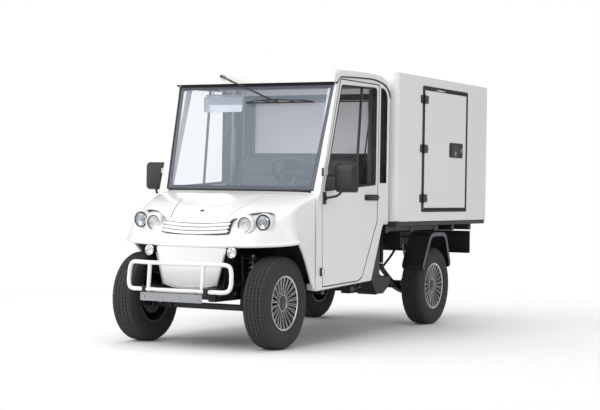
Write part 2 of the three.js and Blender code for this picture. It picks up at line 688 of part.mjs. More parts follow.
// ---- Cargo box ---------------------------------------------------------------------
function cargoBoxGeometry() {
  const { half, frontY, rearY, lowZ, highZ, wall, corner } = BOX;
  const plan = new THREE.Shape();
  plan.moveTo(half, rearY);
  plan.lineTo(-half, rearY);
  plan.lineTo(-half, frontY + corner);
  plan.absarc(-half + corner, frontY + corner, corner, Math.PI, 1.5 * Math.PI);
  plan.absarc(half - corner, frontY + corner, corner, 1.5 * Math.PI, 2 * Math.PI);
  const { y0, y1, z0, z1 } = BOX_DOOR;
  const g = DOOR_GAP + 1;
  return cut(
    slabZ(plan, lowZ, highZ),
    box(-half + wall, half - wall, frontY + wall, rearY + 1, lowZ + wall, highZ - wall),
    box(-half - 1, half + 1, y0 - g, y1 + g, z0 - g, z1 + g),
  );
}

// Folded black board under the rear of the box, with a raised place for a registration plate.
function lampBoardGeometry() {
  const board = join(box(-549, 549, 3046, 3050, 515, 691), box(-230, 230, 3049, PLATE_Y, 545, 655));
  const flanges = [box(-549, 549, 3020, 3050, 687, 691), box(-549, 549, 3020, 3050, 515, 519)];
  const hanger = box(205, 245, 3030 + GAP, 3048, 610, 680);
  return join(board, ...flanges, bothSides(hanger));
}

const tailLampGeometry = () => slabY(roundedRect(330, 530, 560, 645, 14), 3050 + GAP, 3086);

// ---- Assembly ----------------------------------------------------------------------
add("chassis_frame", chassisGeometry(), BLACK);
add("box_frame", boxFrameGeometry(), BLACK);
add("battery_pack", box(-265, 265, 785, 1085, 392, 650), TRIM);
add("front_axle", frontAxleGeometry(), BLACK);
addPair("knuckle", knuckleGeometry(), BLACK);
add("tie_rod", tieRodGeometry(), GREY);
add("rear_axle", rearAxleGeometry(), BLACK);
addWheels();
addPair("mudguard", mudguardGeometry(), BLACK);

add("cab_frame", cabFrameGeometry(), WHITE);
add("cab_floor", floorGeometry(), BLACK);
add("bulkhead", bulkheadGeometry(), BLACK);
add("cab_rear_wall", rearWallGeometry(), WHITE);
add("rear_window", rearWindowGeometry(), GLASS);
add("windscreen", screenPlate(), GLASS);
addPair("quarter_window", slabX(grown(QUARTER_WINDOW, -GAP), 596, 602), GLASS);
add("roof", roofGeometry(), WHITE);
const { lid, body } = frontPanels();
add("front_body", body, WHITE);
add("bonnet", lid, WHITE);
add("nose_skirt", shell(skirtSurface, 8, 6, 8), WHITE);
addPair("headlamp", headlampGeometry(), LAMP);
addPair("fog_lamp", fogLampGeometry(), LAMP);
add("bull_bar", bullBarGeometry(), WHITE);
add("bumper_plate", box(-224, 224, FRONT_END, -445, 297, 349), GREY);
add("wiper", wiperGeometry(), TRIM);

add("dashboard", dashboardGeometry(), TRIM);
const steering = add("steering_wheel", steeringWheelGeometry(), TRIM);
steering.position.set(286, 630, 1100);
steering.rotation.x = -Math.atan2(180, 250);
add("seat_box", seatBoxGeometry(), TRIM);
const { cushion, back } = seatGeometries();
addPair("seat_cushion", cushion, VINYL);
addPair("seat_back", back, VINYL);

addPair("door", doorGeometry(), WHITE);
addPair("door_glass", slabX(grown(DOOR_WINDOW, -GAP), 594, 599), GLASS);
addPair("mirror", mirrorGeometry(), TRIM);

add("cargo_box", cargoBoxGeometry(), WHITE);
addPair("box_door", boxDoorGeometry(), WHITE);
addPair("rear_door", rearDoorGeometry(), WHITE);
add("rear_lamp_board", lampBoardGeometry(), BLACK);
addPair("tail_lamp", tailLampGeometry(), RED);

export default van;
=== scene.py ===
import json
import logging
import math
from dataclasses import dataclass, field
from enum import Enum
from typing import Callable, Iterable, Sequence

import bmesh
import bpy
import numpy as np
from mathutils import Matrix, Vector
from mathutils.bvhtree import BVHTree

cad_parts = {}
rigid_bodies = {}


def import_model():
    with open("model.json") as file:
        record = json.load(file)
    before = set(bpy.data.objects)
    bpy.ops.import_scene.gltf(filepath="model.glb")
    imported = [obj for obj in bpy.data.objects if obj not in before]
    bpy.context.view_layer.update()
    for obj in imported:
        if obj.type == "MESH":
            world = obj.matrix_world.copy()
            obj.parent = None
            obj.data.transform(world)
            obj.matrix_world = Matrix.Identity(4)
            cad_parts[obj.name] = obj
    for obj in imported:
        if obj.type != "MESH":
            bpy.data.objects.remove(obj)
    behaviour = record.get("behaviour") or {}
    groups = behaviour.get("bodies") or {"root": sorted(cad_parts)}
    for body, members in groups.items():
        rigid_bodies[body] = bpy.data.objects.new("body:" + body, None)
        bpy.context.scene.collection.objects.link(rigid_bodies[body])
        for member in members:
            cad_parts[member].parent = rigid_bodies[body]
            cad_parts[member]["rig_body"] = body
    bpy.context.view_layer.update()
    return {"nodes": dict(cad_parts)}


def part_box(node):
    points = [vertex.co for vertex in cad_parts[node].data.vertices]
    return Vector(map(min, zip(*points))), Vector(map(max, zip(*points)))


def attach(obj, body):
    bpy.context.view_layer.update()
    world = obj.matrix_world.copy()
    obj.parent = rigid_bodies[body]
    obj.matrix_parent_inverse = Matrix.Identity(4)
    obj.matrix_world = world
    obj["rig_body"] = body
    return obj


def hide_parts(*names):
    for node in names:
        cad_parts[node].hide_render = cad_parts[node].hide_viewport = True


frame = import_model()
LOG = logging.getLogger("van")
BODY = "van_body"
MM = 0.001
AXLE_Y = sum(corner.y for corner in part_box("tyre_front_left")) / 2
REAR_Y = 2330
HUB_Z = 289
SIDES = {"left": 1, "right": -1}

Point = Sequence[float]


def at(x: float, y: float, z: float) -> Vector:
    """A place given in millimetres from the ground under the front axle, in the frame's metres."""
    return Vector((x * MM, y * MM + AXLE_Y, z * MM))


def metres(points: Iterable[Point]) -> list[tuple[float, float]]:
    """Returns pairs of millimetres in metres."""
    return [(a * MM, b * MM) for a, b in points]


def beside(x: float, outline: Iterable[tuple[float, float]]) -> list[Vector]:
    """Returns an outline in y and z as places at that x."""
    return [at(x, y, z) for y, z in outline]


def outward(sign: int) -> str:
    """Returns the axis that points out of that side of the van, as bolts name it."""
    return "x" if sign > 0 else "-x"


# ---- Finishes ------------------------------------------------------------------------


class Pattern(Enum):
    """The relief that a finish carries."""

    SMOOTH = "smooth"
    GRAIN = "grain"
    LEATHER = "leather"
    BRUSHED = "brushed"


@dataclass(frozen=True)
class Finish:
    """One procedural material, read in Object coordinates.

    Args:
        name: the material's name.
        colour: linear base colour.
        roughness: middle of the roughness.
        metallic: 1 for bare metal.
        coat: weight of the clear coat.
        shift: how far the colour drifts between light and dark patches.
        patch: size of those patches, in metres.
        pattern: the relief.
        grain: size of the relief, in metres.
        depth: height of the relief, in metres.
        alpha: below 1 for clear panes.
        sheen: weight of the soft sheen.
    """

    name: str
    colour: tuple[float, float, float]
    roughness: float = 0.5
    metallic: float = 0.0
    coat: float = 0.0
    shift: float = 0.06
    patch: float = 0.15
    pattern: Pattern = Pattern.SMOOTH
    grain: float = 0.002
    depth: float = 0.0
    alpha: float = 1.0
    sheen: float = 0.0

    def material(self) -> bpy.types.Material:
        """Returns the material, made once."""
        made = bpy.data.materials.get(self.name)
        if made:
            return made
        made = bpy.data.materials.new(self.name)
        made.use_nodes = True
        tree = made.node_tree
        shader = tree.nodes["Principled BSDF"]
        shader.inputs["Metallic"].default_value = self.metallic
        shader.inputs["Coat Weight"].default_value = self.coat
        shader.inputs["Coat Roughness"].default_value = 0.04
        shader.inputs["Sheen Weight"].default_value = self.sheen
        shader.inputs["Alpha"].default_value = self.alpha
        if self.alpha < 1:
            shader.inputs["Base Color"].default_value = (*self.colour, 1)
            shader.inputs["Roughness"].default_value = self.roughness
            shader.inputs["IOR"].default_value = 1.5
            return made
        where = tree.nodes.new("ShaderNodeTexCoord").outputs["Object"]
        drift = self._noise(tree, where, 1 / self.patch, 3.0)
        self._colour(tree, shader, drift)
        self._roughness(tree, shader, where)
        if self.depth > 0:
            self._relief(tree, shader, where)
        return made

    def _noise(self, tree: bpy.types.NodeTree, where: bpy.types.NodeSocket, scale: float,
               detail: float) -> bpy.types.NodeSocket:
        """Returns the value of a noise of that scale."""
        node = tree.nodes.new("ShaderNodeTexNoise")
        node.inputs["Scale"].default_value = scale
        node.inputs["Detail"].default_value = detail
        tree.links.new(where, node.inputs["Vector"])
        return node.outputs["Fac"]

    def _colour(self, tree: bpy.types.NodeTree, shader: bpy.types.Node,
                drift: bpy.types.NodeSocket) -> None:
        """Lets the colour drift between a darker and a lighter patch."""
        ramp = tree.nodes.new("ShaderNodeValToRGB")
        ramp.color_ramp.elements[0].position = 0.3
        ramp.color_ramp.elements[1].position = 0.7
        for element, sign in zip(ramp.color_ramp.elements, (-1, 1)):
            share = 1 + sign * self.shift
            element.color = (*(min(1.0, c * share) for c in self.colour), 1)
        tree.links.new(drift, ramp.inputs["Fac"])
        tree.links.new(ramp.outputs["Color"], shader.inputs["Base Color"])

    def _roughness(self, tree: bpy.types.NodeTree, shader: bpy.types.Node,
                   where: bpy.types.NodeSocket) -> None:
        """Lets the roughness vary a little, as handled surfaces do."""
        smudge = self._noise(tree, where, 2.3 / self.patch, 4.0)
        span = tree.nodes.new("ShaderNodeMapRange")
        span.inputs["To Min"].default_value = max(0.02, self.roughness * 0.82)
        span.inputs["To Max"].default_value = min(1.0, self.roughness * 1.2)
        tree.links.new(smudge, span.inputs["Value"])
        tree.links.new(span.outputs["Result"], shader.inputs["Roughness"])

    def _relief(self, tree: bpy.types.NodeTree, shader: bpy.types.Node,
                where: bpy.types.NodeSocket) -> None:
        """Adds the pattern's bump."""
        if self.pattern is Pattern.BRUSHED:
            stretch = tree.nodes.new("ShaderNodeMapping")
            stretch.inputs["Scale"].default_value = (1.0, 0.03, 1.0)
            tree.links.new(where, stretch.inputs["Vector"])
            where = stretch.outputs["Vector"]
        if self.pattern is Pattern.LEATHER:
            cells = tree.nodes.new("ShaderNodeTexVoronoi")
            cells.feature = "DISTANCE_TO_EDGE"
            cells.inputs["Scale"].default_value = 1 / self.grain
            tree.links.new(where, cells.inputs["Vector"])
            height = cells.outputs["Distance"]
        else:
            height = self._noise(tree, where, 1 / self.grain, 2.0)
        bump = tree.nodes.new("ShaderNodeBump")
        bump.inputs["Distance"].default_value = self.depth
        bump.inputs["Strength"].default_value = 0.6
        tree.links.new(height, bump.inputs["Height"])
        tree.links.new(bump.outputs["Normal"], shader.inputs["Normal"])


WHITE = Finish("white_gloss_paint", (0.82, 0.82, 0.815), 0.22, coat=0.6, shift=0.012, patch=0.4,
               pattern=Pattern.GRAIN, grain=0.004, depth=0.00002)
BLACK_STEEL = Finish("black_satin_steel", (0.014, 0.0145, 0.016), 0.42, coat=0.1, shift=0.2,
                     pattern=Pattern.GRAIN, grain=0.003, depth=0.00012)
BLACK_PLASTIC = Finish("black_moulded_plastic", (0.02, 0.021, 0.024), 0.5, shift=0.12,
                       pattern=Pattern.GRAIN, grain=0.0012, depth=0.0001)
DARK_TRIM = Finish("dark_cabin_trim", (0.035, 0.038, 0.043), 0.55, shift=0.1,
                   pattern=Pattern.LEATHER, grain=0.0025, depth=0.00012)
SEAL = Finish("black_rubber_seal", (0.012, 0.012, 0.013), 0.6, shift=0.1,
              pattern=Pattern.GRAIN, grain=0.002, depth=0.00006)
TYRE = Finish("tyre_rubber", (0.0125, 0.013, 0.016), 0.68, shift=0.25, patch=0.05,
              pattern=Pattern.GRAIN, grain=0.0018, depth=0.00018)
COVER = Finish("dark_wheel_cover", (0.018, 0.019, 0.022), 0.3, coat=0.3, shift=0.1,
               pattern=Pattern.GRAIN, grain=0.001, depth=0.00003)
SILVER = Finish("machined_silver", (0.62, 0.63, 0.65), 0.24, metallic=1.0, shift=0.06,
                pattern=Pattern.BRUSHED, grain=0.0006, depth=0.00003)
STEEL = Finish("zinc_steel", (0.42, 0.43, 0.45), 0.36, metallic=1.0, shift=0.12,
               pattern=Pattern.BRUSHED, grain=0.001, depth=0.00005)
GREY_PAINT = Finish("grey_paint", (0.3, 0.31, 0.325), 0.4, shift=0.05,
                    pattern=Pattern.GRAIN, grain=0.003, depth=0.00006)
CHROME = Finish("lamp_reflector", (0.85, 0.86, 0.88), 0.08, metallic=1.0, shift=0.03)
WARM_CHROME = Finish("warm_reflector", (0.86, 0.8, 0.7), 0.12, metallic=1.0, shift=0.06, patch=0.02)
BLUE_GLASS = Finish("projector_glass", (0.1, 0.14, 0.22), 0.04, coat=1.0, shift=0.2, patch=0.02)
MIRROR = Finish("mirror_silver", (0.9, 0.91, 0.92), 0.03, metallic=1.0, shift=0.01)
GLASS = Finish("side_pane", (0.1, 0.115, 0.13), 0.02, alpha=0.035)
SCREEN_GLASS = Finish("windscreen_pane", (0.6, 0.69, 0.8), 0.02, alpha=0.15)
# Near-opaque light grey veil for the rear window: painted light that lightens the box's front wall behind it,
# which lies in deep shade.
REAR_PANE_PAINTED_FILL_LIGHT = Finish("grey_rear_pane", (0.8, 0.78, 0.82), 0.3, alpha=0.96)
# Slate finish: the windscreen border's own colour, and on the mudguard flange a painted highlight for the lit
# black lip.
BORDER_AND_PAINTED_LIP_HIGHLIGHT = Finish("slate_pane_border", (0.085, 0.095, 0.12), 0.3, shift=0.04)
LENS = Finish("clear_lens", (0.85, 0.88, 0.9), 0.03, alpha=0.22)
RED_LENS = Finish("red_lens", (0.42, 0.008, 0.006), 0.12, coat=0.5, shift=0.05)
AMBER_LENS = Finish("amber_lens", (0.7, 0.2, 0.01), 0.12, coat=0.5, shift=0.05)
VINYL = Finish("seat_vinyl", (0.05, 0.054, 0.062), 0.46, shift=0.1, patch=0.08,
               pattern=Pattern.LEATHER, grain=0.0028, depth=0.00001, sheen=0.1)
VISOR = Finish("grey_visor", (0.37, 0.4, 0.44), 0.8, shift=0.04,
               pattern=Pattern.GRAIN, grain=0.0015, depth=0.0001, sheen=0.2)
HEADLINER = Finish("dark_headliner", (0.035, 0.038, 0.045), 0.85, shift=0.08,
                   pattern=Pattern.GRAIN, grain=0.0015, depth=0.0002, sheen=0.2)


# ---- Mesh tools ----------------------------------------------------------------------


@dataclass
class Shape:
    """A mesh that grows piece by piece, in the frame's metres, with one finish a face."""

    finishes: list[Finish] = field(default_factory=list)
    mesh: bmesh.types.BMesh = field(default_factory=bmesh.new)

    def slot(self, finish: Finish) -> int:
        """Returns the material index of a finish, adding it if it's new."""
        if finish not in self.finishes:
            self.finishes.append(finish)
        return self.finishes.index(finish)

    def faces(self, points: Sequence[Point], faces: Iterable[Sequence[int]], finish: Finish,
              smooth: bool = True) -> list[bmesh.types.BMFace]:
        """Adds faces over points.

        Args:
            points: corner places.
            faces: index lists into points.
            finish: the faces' finish.
            smooth: shade them smooth.

        Returns:
            The new faces.
        """
        index = self.slot(finish)
        verts = [self.mesh.verts.new(p) for p in points]
        made = []
        for face in faces:
            corners = [verts[i] for i in face]
            if len(set(corners)) < 3:
                continue
            new = self.mesh.faces.new(corners)
            new.material_index = index
            new.smooth = smooth
            made.append(new)
        return made

    def box(self, low: Point, high: Point, finish: Finish) -> None:
        """Adds a block between two opposite corners given by at(), in any order."""
        xs, ys, zs = (sorted(pair) for pair in zip(low, high))
        points = [(x, y, z) for x in xs for y in ys for z in zs]
        sides = ((0, 1, 3, 2), (4, 6, 7, 5), (0, 4, 5, 1), (2, 3, 7, 6), (0, 2, 6, 4), (1, 5, 7, 3))
        self.faces(points, sides, finish, smooth=False)

    def rings(self, rings: Sequence[Sequence[Point]], finish: Finish, closed: bool = False,
              caps: bool = True, around: bool = True) -> None:
        """Adds a skin over rings of points.

        Args:
            rings: the rings, each with as many points.
            finish: the skin's finish.
            closed: join the last ring to the first.
            caps: close the two ends.
            around: join each ring's last point to its first.
        """
        n = len(rings[0])
        points = [p for ring in rings for p in ring]
        faces = []
        for i in range(len(rings) - (0 if closed else 1)):
            a, b = i * n, (i + 1) % len(rings) * n
            for k in range(n if around else n - 1):
                m = (k + 1) % n
                faces.append((a + k, a + m, b + m, b + k))
        if caps and not closed:
            faces.append(tuple(range(n))[::-1])
            faces.append(tuple(range((len(rings) - 1) * n, len(rings) * n)))
        self.faces(points, faces, finish)

    def lathe(self, profile: Sequence[Point], centre: Point, axis: Point, finish: Finish,
              steps: int = 48, start: Point = (0, 0, 1)) -> None:
        """Turns a profile of (radius, distance along the axis), in metres.

        Args:
            profile: the points, from one end to the other.
            centre: the axis point at distance 0.
            axis: the direction of positive distance.
            finish: the skin's finish.
            steps: facets round the axis.
            start: a direction that isn't along the axis.
        """
        along = Vector(axis).normalized()
        side = along.cross(Vector(start)).normalized()
        up = along.cross(side)
        middle = Vector(centre)
        rings = []
        for k in range(steps):
            turn = 2 * math.pi * k / steps
            out = side * math.cos(turn) + up * math.sin(turn)
            rings.append([middle + out * r + along * d for r, d in profile])
        self.rings(rings, finish, closed=True, caps=False, around=False)

    def tube(self, path: Sequence[Point], radius: float, finish: Finish, sides: int = 16,
             closed: bool = False, section: Sequence[Point] | None = None,
             up: Point | None = None) -> None:
        """Sweeps a section along a path, which turns as little as it can.

        Args:
            path: the places, in metres.
            radius: the round section's radius, in metres.
            finish: the skin's finish.
            sides: facets of the round section.
            closed: the path returns to its start.
            section: (across, up) points that stand in for the circle.
            up: keep the section's up near this direction.
        """
        points = [Vector(p) for p in path]
        n = len(points)
        section = section or oval(radius, radius, sides)
        lift = None
        rings = []
        for i, p in enumerate(points):
            ahead = points[(i + 1) % n] if closed or i < n - 1 else p
            behind = points[i - 1] if closed or i > 0 else p
            along = (ahead - behind).normalized()
            if up is not None:
                lift = Vector(up)
            elif lift is None:
                lift = Vector((0, 0, 1)) if abs(along.z) < 0.9 else Vector((1, 0, 0))
            lift = (lift - along * lift.dot(along)).normalized()
            across = along.cross(lift)
            rings.append([p + across * a + lift * b for a, b in section])
        self.rings(rings, finish, closed=closed)

    def slab(self, outline: Sequence[tuple[float, float]], low: float, high: float, finish: Finish,
             plane: str = "yz") -> None:
        """Pushes an outline of millimetre points through from low to high.

        Args:
            outline: the points in the plane's two axes.
            low: one end of the depth, in millimetres.
            high: its other end.
            finish: the skin's finish.
            plane: yz, xz or xy.
        """
        make = {
            "yz": lambda a, b, d: at(d, a, b),
            "xz": lambda a, b, d: at(a, d, b),
            "xy": lambda a, b, d: at(a, b, d),
        }[plane]
        n = len(outline)
        points = [make(a, b, d) for d in sorted((low, high)) for a, b in outline]
        faces = [(i, (i + 1) % n, n + (i + 1) % n, n + i) for i in range(n)]
        faces += [tuple(range(n))[::-1], tuple(range(n, 2 * n))]
        self.faces(points, faces, finish, smooth=False)

    def add(self, other: bpy.types.Mesh, finish: Finish | None = None,
            move: Matrix | None = None) -> None:
        """Adds a finished mesh, moved by a matrix, with its own finishes or one for all."""
        extra = bmesh.new()
        extra.from_mesh(other)
        if move is not None:
            extra.transform(move)
            if move.determinant() < 0:
                bmesh.ops.reverse_faces(extra, faces=extra.faces)
        names = [m.name for m in other.materials]
        known = {f.name: f for f in ALL_FINISHES}
        slots = [self.slot(finish or known[n]) for n in names] or [self.slot(finish or WHITE)]
        verts = {v: self.mesh.verts.new(v.co) for v in extra.verts}
        for face in extra.faces:
            new = self.mesh.faces.new([verts[v] for v in face.verts])
            new.smooth = face.smooth
            new.material_index = slots[min(face.material_index, len(slots) - 1)]
        extra.free()

    def data(self, name: str, outwards: bool = True, sharp: float = 35.0) -> bpy.types.Mesh:
        """Returns the mesh, its doubles merged and its faces turned outwards."""
        bmesh.ops.remove_doubles(self.mesh, verts=self.mesh.verts, dist=1e-6)
        if outwards:
            bmesh.ops.recalc_face_normals(self.mesh, faces=self.mesh.faces)
        made = bpy.data.meshes.new(name)
        self.mesh.to_mesh(made)
        self.mesh.free()
        for finish in self.finishes:
            made.materials.append(finish.material())
        made.set_sharp_from_angle(angle=math.radians(sharp))
        return made

    def piece(self, name: str, body: str = BODY, bevel: float = 0.0, subdivide: int = 0,
              replaces: Sequence[str] = (), sharp: float = 35.0,
              segments: int = 2) -> bpy.types.Object:
        """Makes the object and lets it ride.

        Args:
            name: the piece's name.
            body: the body that it moves with.
            bevel: width of the rounded edges, in metres.
            subdivide: levels of subdivision.
            replaces: the plain nodes that it stands for.
            sharp: the angle past which an edge stays sharp, in degrees.
            segments: facets of a rounded edge.

        Returns:
            The object.
        """
        return show(self.data(name, sharp=sharp), name, body, bevel, subdivide, replaces, segments)


def show(mesh: bpy.types.Mesh, name: str, body: str = BODY, bevel: float = 0.0, subdivide: int = 0,
         replaces: Sequence[str] = (), segments: int = 2) -> bpy.types.Object:
    """Puts a mesh into the scene as a piece of the van and returns its object."""
    thing = bpy.data.objects.new(name, mesh)
    bpy.context.scene.collection.objects.link(thing)
    if bevel > 0:
        rounding = thing.modifiers.new("rounded_edges", "BEVEL")
        rounding.width = bevel
        rounding.segments = segments
        rounding.limit_method = "ANGLE"
        rounding.angle_limit = math.radians(32)
        rounding.harden_normals = True
    if subdivide:
        smooth = thing.modifiers.new("smooth_surface", "SUBSURF")
        smooth.levels = smooth.render_levels = subdivide
    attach(thing, body)
    if replaces:
        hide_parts(*replaces)
    LOG.info("%s: %d faces on %s", name, len(mesh.polygons), body)
    return thing


def node_body(node: str) -> str:
    """Returns the name of the body that a node belongs to."""
    return frame["nodes"][node]["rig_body"]


def merged_copy(node: str, finish: Finish) -> Shape:
    """Returns a node's mesh as a shape, its loose triangles merged into flat faces."""
    shape = Shape()
    shape.slot(finish)
    shape.mesh.from_mesh(frame["nodes"][node].data)
    bmesh.ops.remove_doubles(shape.mesh, verts=shape.mesh.verts, dist=2e-5)
    bmesh.ops.dissolve_limit(shape.mesh, angle_limit=math.radians(1.0),
                             verts=shape.mesh.verts, edges=shape.mesh.edges)
    for face in shape.mesh.faces:
        face.material_index = 0
        face.smooth = True
    return shape


def dressed(node: str, finish: Finish, bevel: float = 2.0, sharp: float = 32.0,
            segments: int = 2) -> bpy.types.Object:
    """Replaces a node by its own shape with rounded edges and a finish.

    Args:
        node: the node.
        finish: its finish.
        bevel: width of the rounded edges, in millimetres.
        sharp: the angle past which an edge stays sharp.
        segments: facets of a rounded edge.

    Returns:
        The piece.
    """
    shape = merged_copy(node, finish)
    mesh = shape.data(node + "_finished", outwards=False, sharp=sharp)
    return show(mesh, node + "_finished", node_body(node), bevel * MM, 0, [node], segments)


def baked(thing: bpy.types.Object, name: str) -> bpy.types.Mesh:
    """Applies an object's modifiers, removes the object and returns the plain mesh."""
    bpy.context.view_layer.update()
    seen = thing.evaluated_get(bpy.context.evaluated_depsgraph_get())
    mesh = bpy.data.meshes.new_from_object(seen)
    mesh.name = name
    bpy.data.objects.remove(thing)
    return mesh


def loose(mesh: bpy.types.Mesh, name: str = "scratch") -> bpy.types.Object:
    """Puts a mesh into the scene as a helper object."""
    thing = bpy.data.objects.new(name, mesh)
    bpy.context.scene.collection.objects.link(thing)
    return thing


def thickened(mesh: bpy.types.Mesh, name: str, thickness: float, offset: float = -1) -> bpy.types.Mesh:
    """Returns a surface as a sheet, in metres; offset runs from -1 for all inside to 1 for all outside."""
    thing = loose(mesh)
    sheet = thing.modifiers.new("sheet", "SOLIDIFY")
    sheet.thickness = thickness
    sheet.offset = offset
    return baked(thing, name)


def carved(body: bpy.types.Mesh, cutters: Sequence[bpy.types.Mesh], name: str,
           operation: str = "DIFFERENCE") -> bpy.types.Mesh:
    """Returns the body with the cutters taken out of it, or with INTERSECT what is inside them."""
    thing = loose(body)
    tools = [loose(c) for c in cutters]
    for tool in tools:
        cut = thing.modifiers.new("cut", "BOOLEAN")
        cut.operation = operation
        cut.object = tool
        cut.solver = "EXACT"
    made = baked(thing, name)
    for tool in tools:
        bpy.data.objects.remove(tool)
    return made


def rounded(points: Sequence[tuple[float, float]], radius: float, steps: int = 6
            ) -> list[tuple[float, float]]:
    """Returns a closed outline with its corners rounded.

    Args:
        points: the corners in order.
        radius: the corners' radius, in the points' unit.
        steps: facets a corner.
    """
    out = []
    n = len(points)
    for i in range(n):
        corner = Vector(points[i])
        back = Vector(points[i - 1]) - corner
        on = Vector(points[(i + 1) % n]) - corner
        reach = min(radius, back.length * 0.48, on.length * 0.48)
        a = corner + back.normalized() * reach
        b = corner + on.normalized() * reach
        for k in range(steps + 1):
            t = k / steps
            out.append(tuple(a * (1 - t) ** 2 + corner * 2 * t * (1 - t) + b * t * t))
    return out


def rectangle(x0: float, z0: float, x1: float, z1: float, radius: float, steps: int = 6
              ) -> list[tuple[float, float]]:
    """Returns a rectangle with rounded corners, as rounded() makes them."""
    return rounded([(x0, z0), (x1, z0), (x1, z1), (x0, z1)], radius, steps)


def oval(across: float, up: float, steps: int) -> list[tuple[float, float]]:
    """Returns an oval of points about the origin, from its two half widths."""
    turns = (2 * math.pi * k / steps for k in range(steps))
    return [(across * math.cos(t), up * math.sin(t)) for t in turns]


def curve_through(points: Sequence[Point], steps: int = 8, closed: bool = False) -> list[Vector]:
    """Returns a smooth line through the points, as a Catmull-Rom curve."""
    p = [Vector(q) for q in points]
    n = len(p)
    out = []
    for i in range(n if closed else n - 1):
        a = p[i - 1] if closed or i > 0 else p[i]
        b, c = p[i], p[(i + 1) % n]
        d = p[(i + 2) % n] if closed or i < n - 2 else c
        for k in range(steps):
            t = k / steps
            out.append(0.5 * ((2 * b) + (c - a) * t + (2 * a - 5 * b + 4 * c - d) * t * t
                              + (3 * b - a - 3 * c + d) * t ** 3))
    if not closed:
        out.append(p[-1])
    return out


# ---- Repeats by Geometry Nodes -------------------------------------------------------


class Repeat:
    """Geometry Nodes trees that repeat a template round an axis or along a row."""

    @staticmethod
    def _tree(name: str, sizes: dict[str, str]) -> tuple[bpy.types.NodeTree, bpy.types.Node]:
        """Returns a new tree with named inputs and its input node."""
        tree = bpy.data.node_groups.new(name, "GeometryNodeTree")
        tree.interface.new_socket("Geometry", in_out="OUTPUT", socket_type="NodeSocketGeometry")
        for label, kind in sizes.items():
            tree.interface.new_socket(label, in_out="INPUT", socket_type=kind)
        return tree, tree.nodes.new("NodeGroupInput")

    @staticmethod
    def _finish(tree: bpy.types.NodeTree, inputs: bpy.types.Node, points: bpy.types.NodeSocket,
                turn: bpy.types.NodeSocket | None) -> None:
        """Puts the template on the points, realizes it and sets its finish."""
        template = tree.nodes.new("GeometryNodeObjectInfo")
        instance = tree.nodes.new("GeometryNodeInstanceOnPoints")
        real = tree.nodes.new("GeometryNodeRealizeInstances")
        paint = tree.nodes.new("GeometryNodeSetMaterial")
        out = tree.nodes.new("NodeGroupOutput")
        tree.links.new(inputs.outputs["Template"], template.inputs["Object"])
        tree.links.new(points, instance.inputs["Points"])
        tree.links.new(template.outputs["Geometry"], instance.inputs["Instance"])
        if turn is not None:
            tree.links.new(turn, instance.inputs["Rotation"])
        tree.links.new(instance.outputs["Instances"], real.inputs["Geometry"])
        tree.links.new(real.outputs["Geometry"], paint.inputs["Geometry"])
        tree.links.new(inputs.outputs["Material"], paint.inputs["Material"])
        tree.links.new(paint.outputs["Geometry"], out.inputs["Geometry"])

    @classmethod
    def _ring_tree(cls) -> bpy.types.NodeTree:
        """Points round X, each instance turned with its point."""
        tree, inputs = cls._tree("ring_of_pieces", {
            "Template": "NodeSocketObject", "Material": "NodeSocketMaterial",
            "Count": "NodeSocketInt", "Phase": "NodeSocketFloat",
        })
        line = tree.nodes.new("GeometryNodeMeshLine")
        line.mode = "OFFSET"
        line.inputs["Offset"].default_value = (0, 0, 0)
        index = tree.nodes.new("GeometryNodeInputIndex")
        share = tree.nodes.new("ShaderNodeMath")
        share.operation = "DIVIDE"
        whole = tree.nodes.new("ShaderNodeMath")
        whole.operation = "MULTIPLY_ADD"
        whole.inputs[1].default_value = 2 * math.pi
        turn = tree.nodes.new("ShaderNodeCombineXYZ")
        tree.links.new(inputs.outputs["Count"], line.inputs["Count"])
        tree.links.new(index.outputs["Index"], share.inputs[0])
        tree.links.new(inputs.outputs["Count"], share.inputs[1])
        tree.links.new(share.outputs["Value"], whole.inputs[0])
        tree.links.new(inputs.outputs["Phase"], whole.inputs[2])
        tree.links.new(whole.outputs["Value"], turn.inputs["X"])
        cls._finish(tree, inputs, line.outputs["Mesh"], turn.outputs["Vector"])
        return tree

    @classmethod
    def _row_tree(cls) -> bpy.types.NodeTree:
        """Points in a straight row."""
        tree, inputs = cls._tree("row_of_pieces", {
            "Template": "NodeSocketObject", "Material": "NodeSocketMaterial",
            "Count": "NodeSocketInt", "Start": "NodeSocketVector", "Step": "NodeSocketVector",
        })
        line = tree.nodes.new("GeometryNodeMeshLine")
        line.mode = "OFFSET"
        tree.links.new(inputs.outputs["Count"], line.inputs["Count"])
        tree.links.new(inputs.outputs["Start"], line.inputs["Start Location"])
        tree.links.new(inputs.outputs["Step"], line.inputs["Offset"])
        cls._finish(tree, inputs, line.outputs["Mesh"], None)
        return tree

    @classmethod
    def _run(cls, maker: Callable[[], bpy.types.NodeTree], name: str, template: bpy.types.Mesh,
             values: dict[str, object]) -> bpy.types.Mesh:
        """Runs a tree on a template and returns the plain mesh."""
        tree = bpy.data.node_groups.get(name) or maker()
        source = loose(template, "template")
        host = loose(bpy.data.meshes.new("host"), "host")
        modifier = host.modifiers.new("repeat", "NODES")
        modifier.node_group = tree
        values = {"Template": source, "Material": template.materials[0], **values}
        for item in tree.interface.items_tree:
            if item.in_out == "INPUT" and item.name in values:
                modifier[item.identifier] = values[item.name]
        made = baked(host, template.name + "_repeated")
        bpy.data.objects.remove(source)
        return made

    @classmethod
    def ring(cls, template: bpy.types.Mesh, count: int, phase: float = 0.0) -> bpy.types.Mesh:
        """Repeats a template round the X axis through the origin.

        Args:
            template: one piece, in its place at angle 0.
            count: how many.
            phase: the first one's angle, in radians.

        Returns:
            All of them as one mesh.
        """
        return cls._run(cls._ring_tree, "ring_of_pieces", template, {"Count": count, "Phase": phase})

    @classmethod
    def row(cls, template: bpy.types.Mesh, count: int, start: Point, step: Point) -> bpy.types.Mesh:
        """Repeats a template in a row from start, a step apart, and returns one mesh."""
        return cls._run(cls._row_tree, "row_of_pieces", template,
                        {"Count": count, "Start": tuple(start), "Step": tuple(step)})


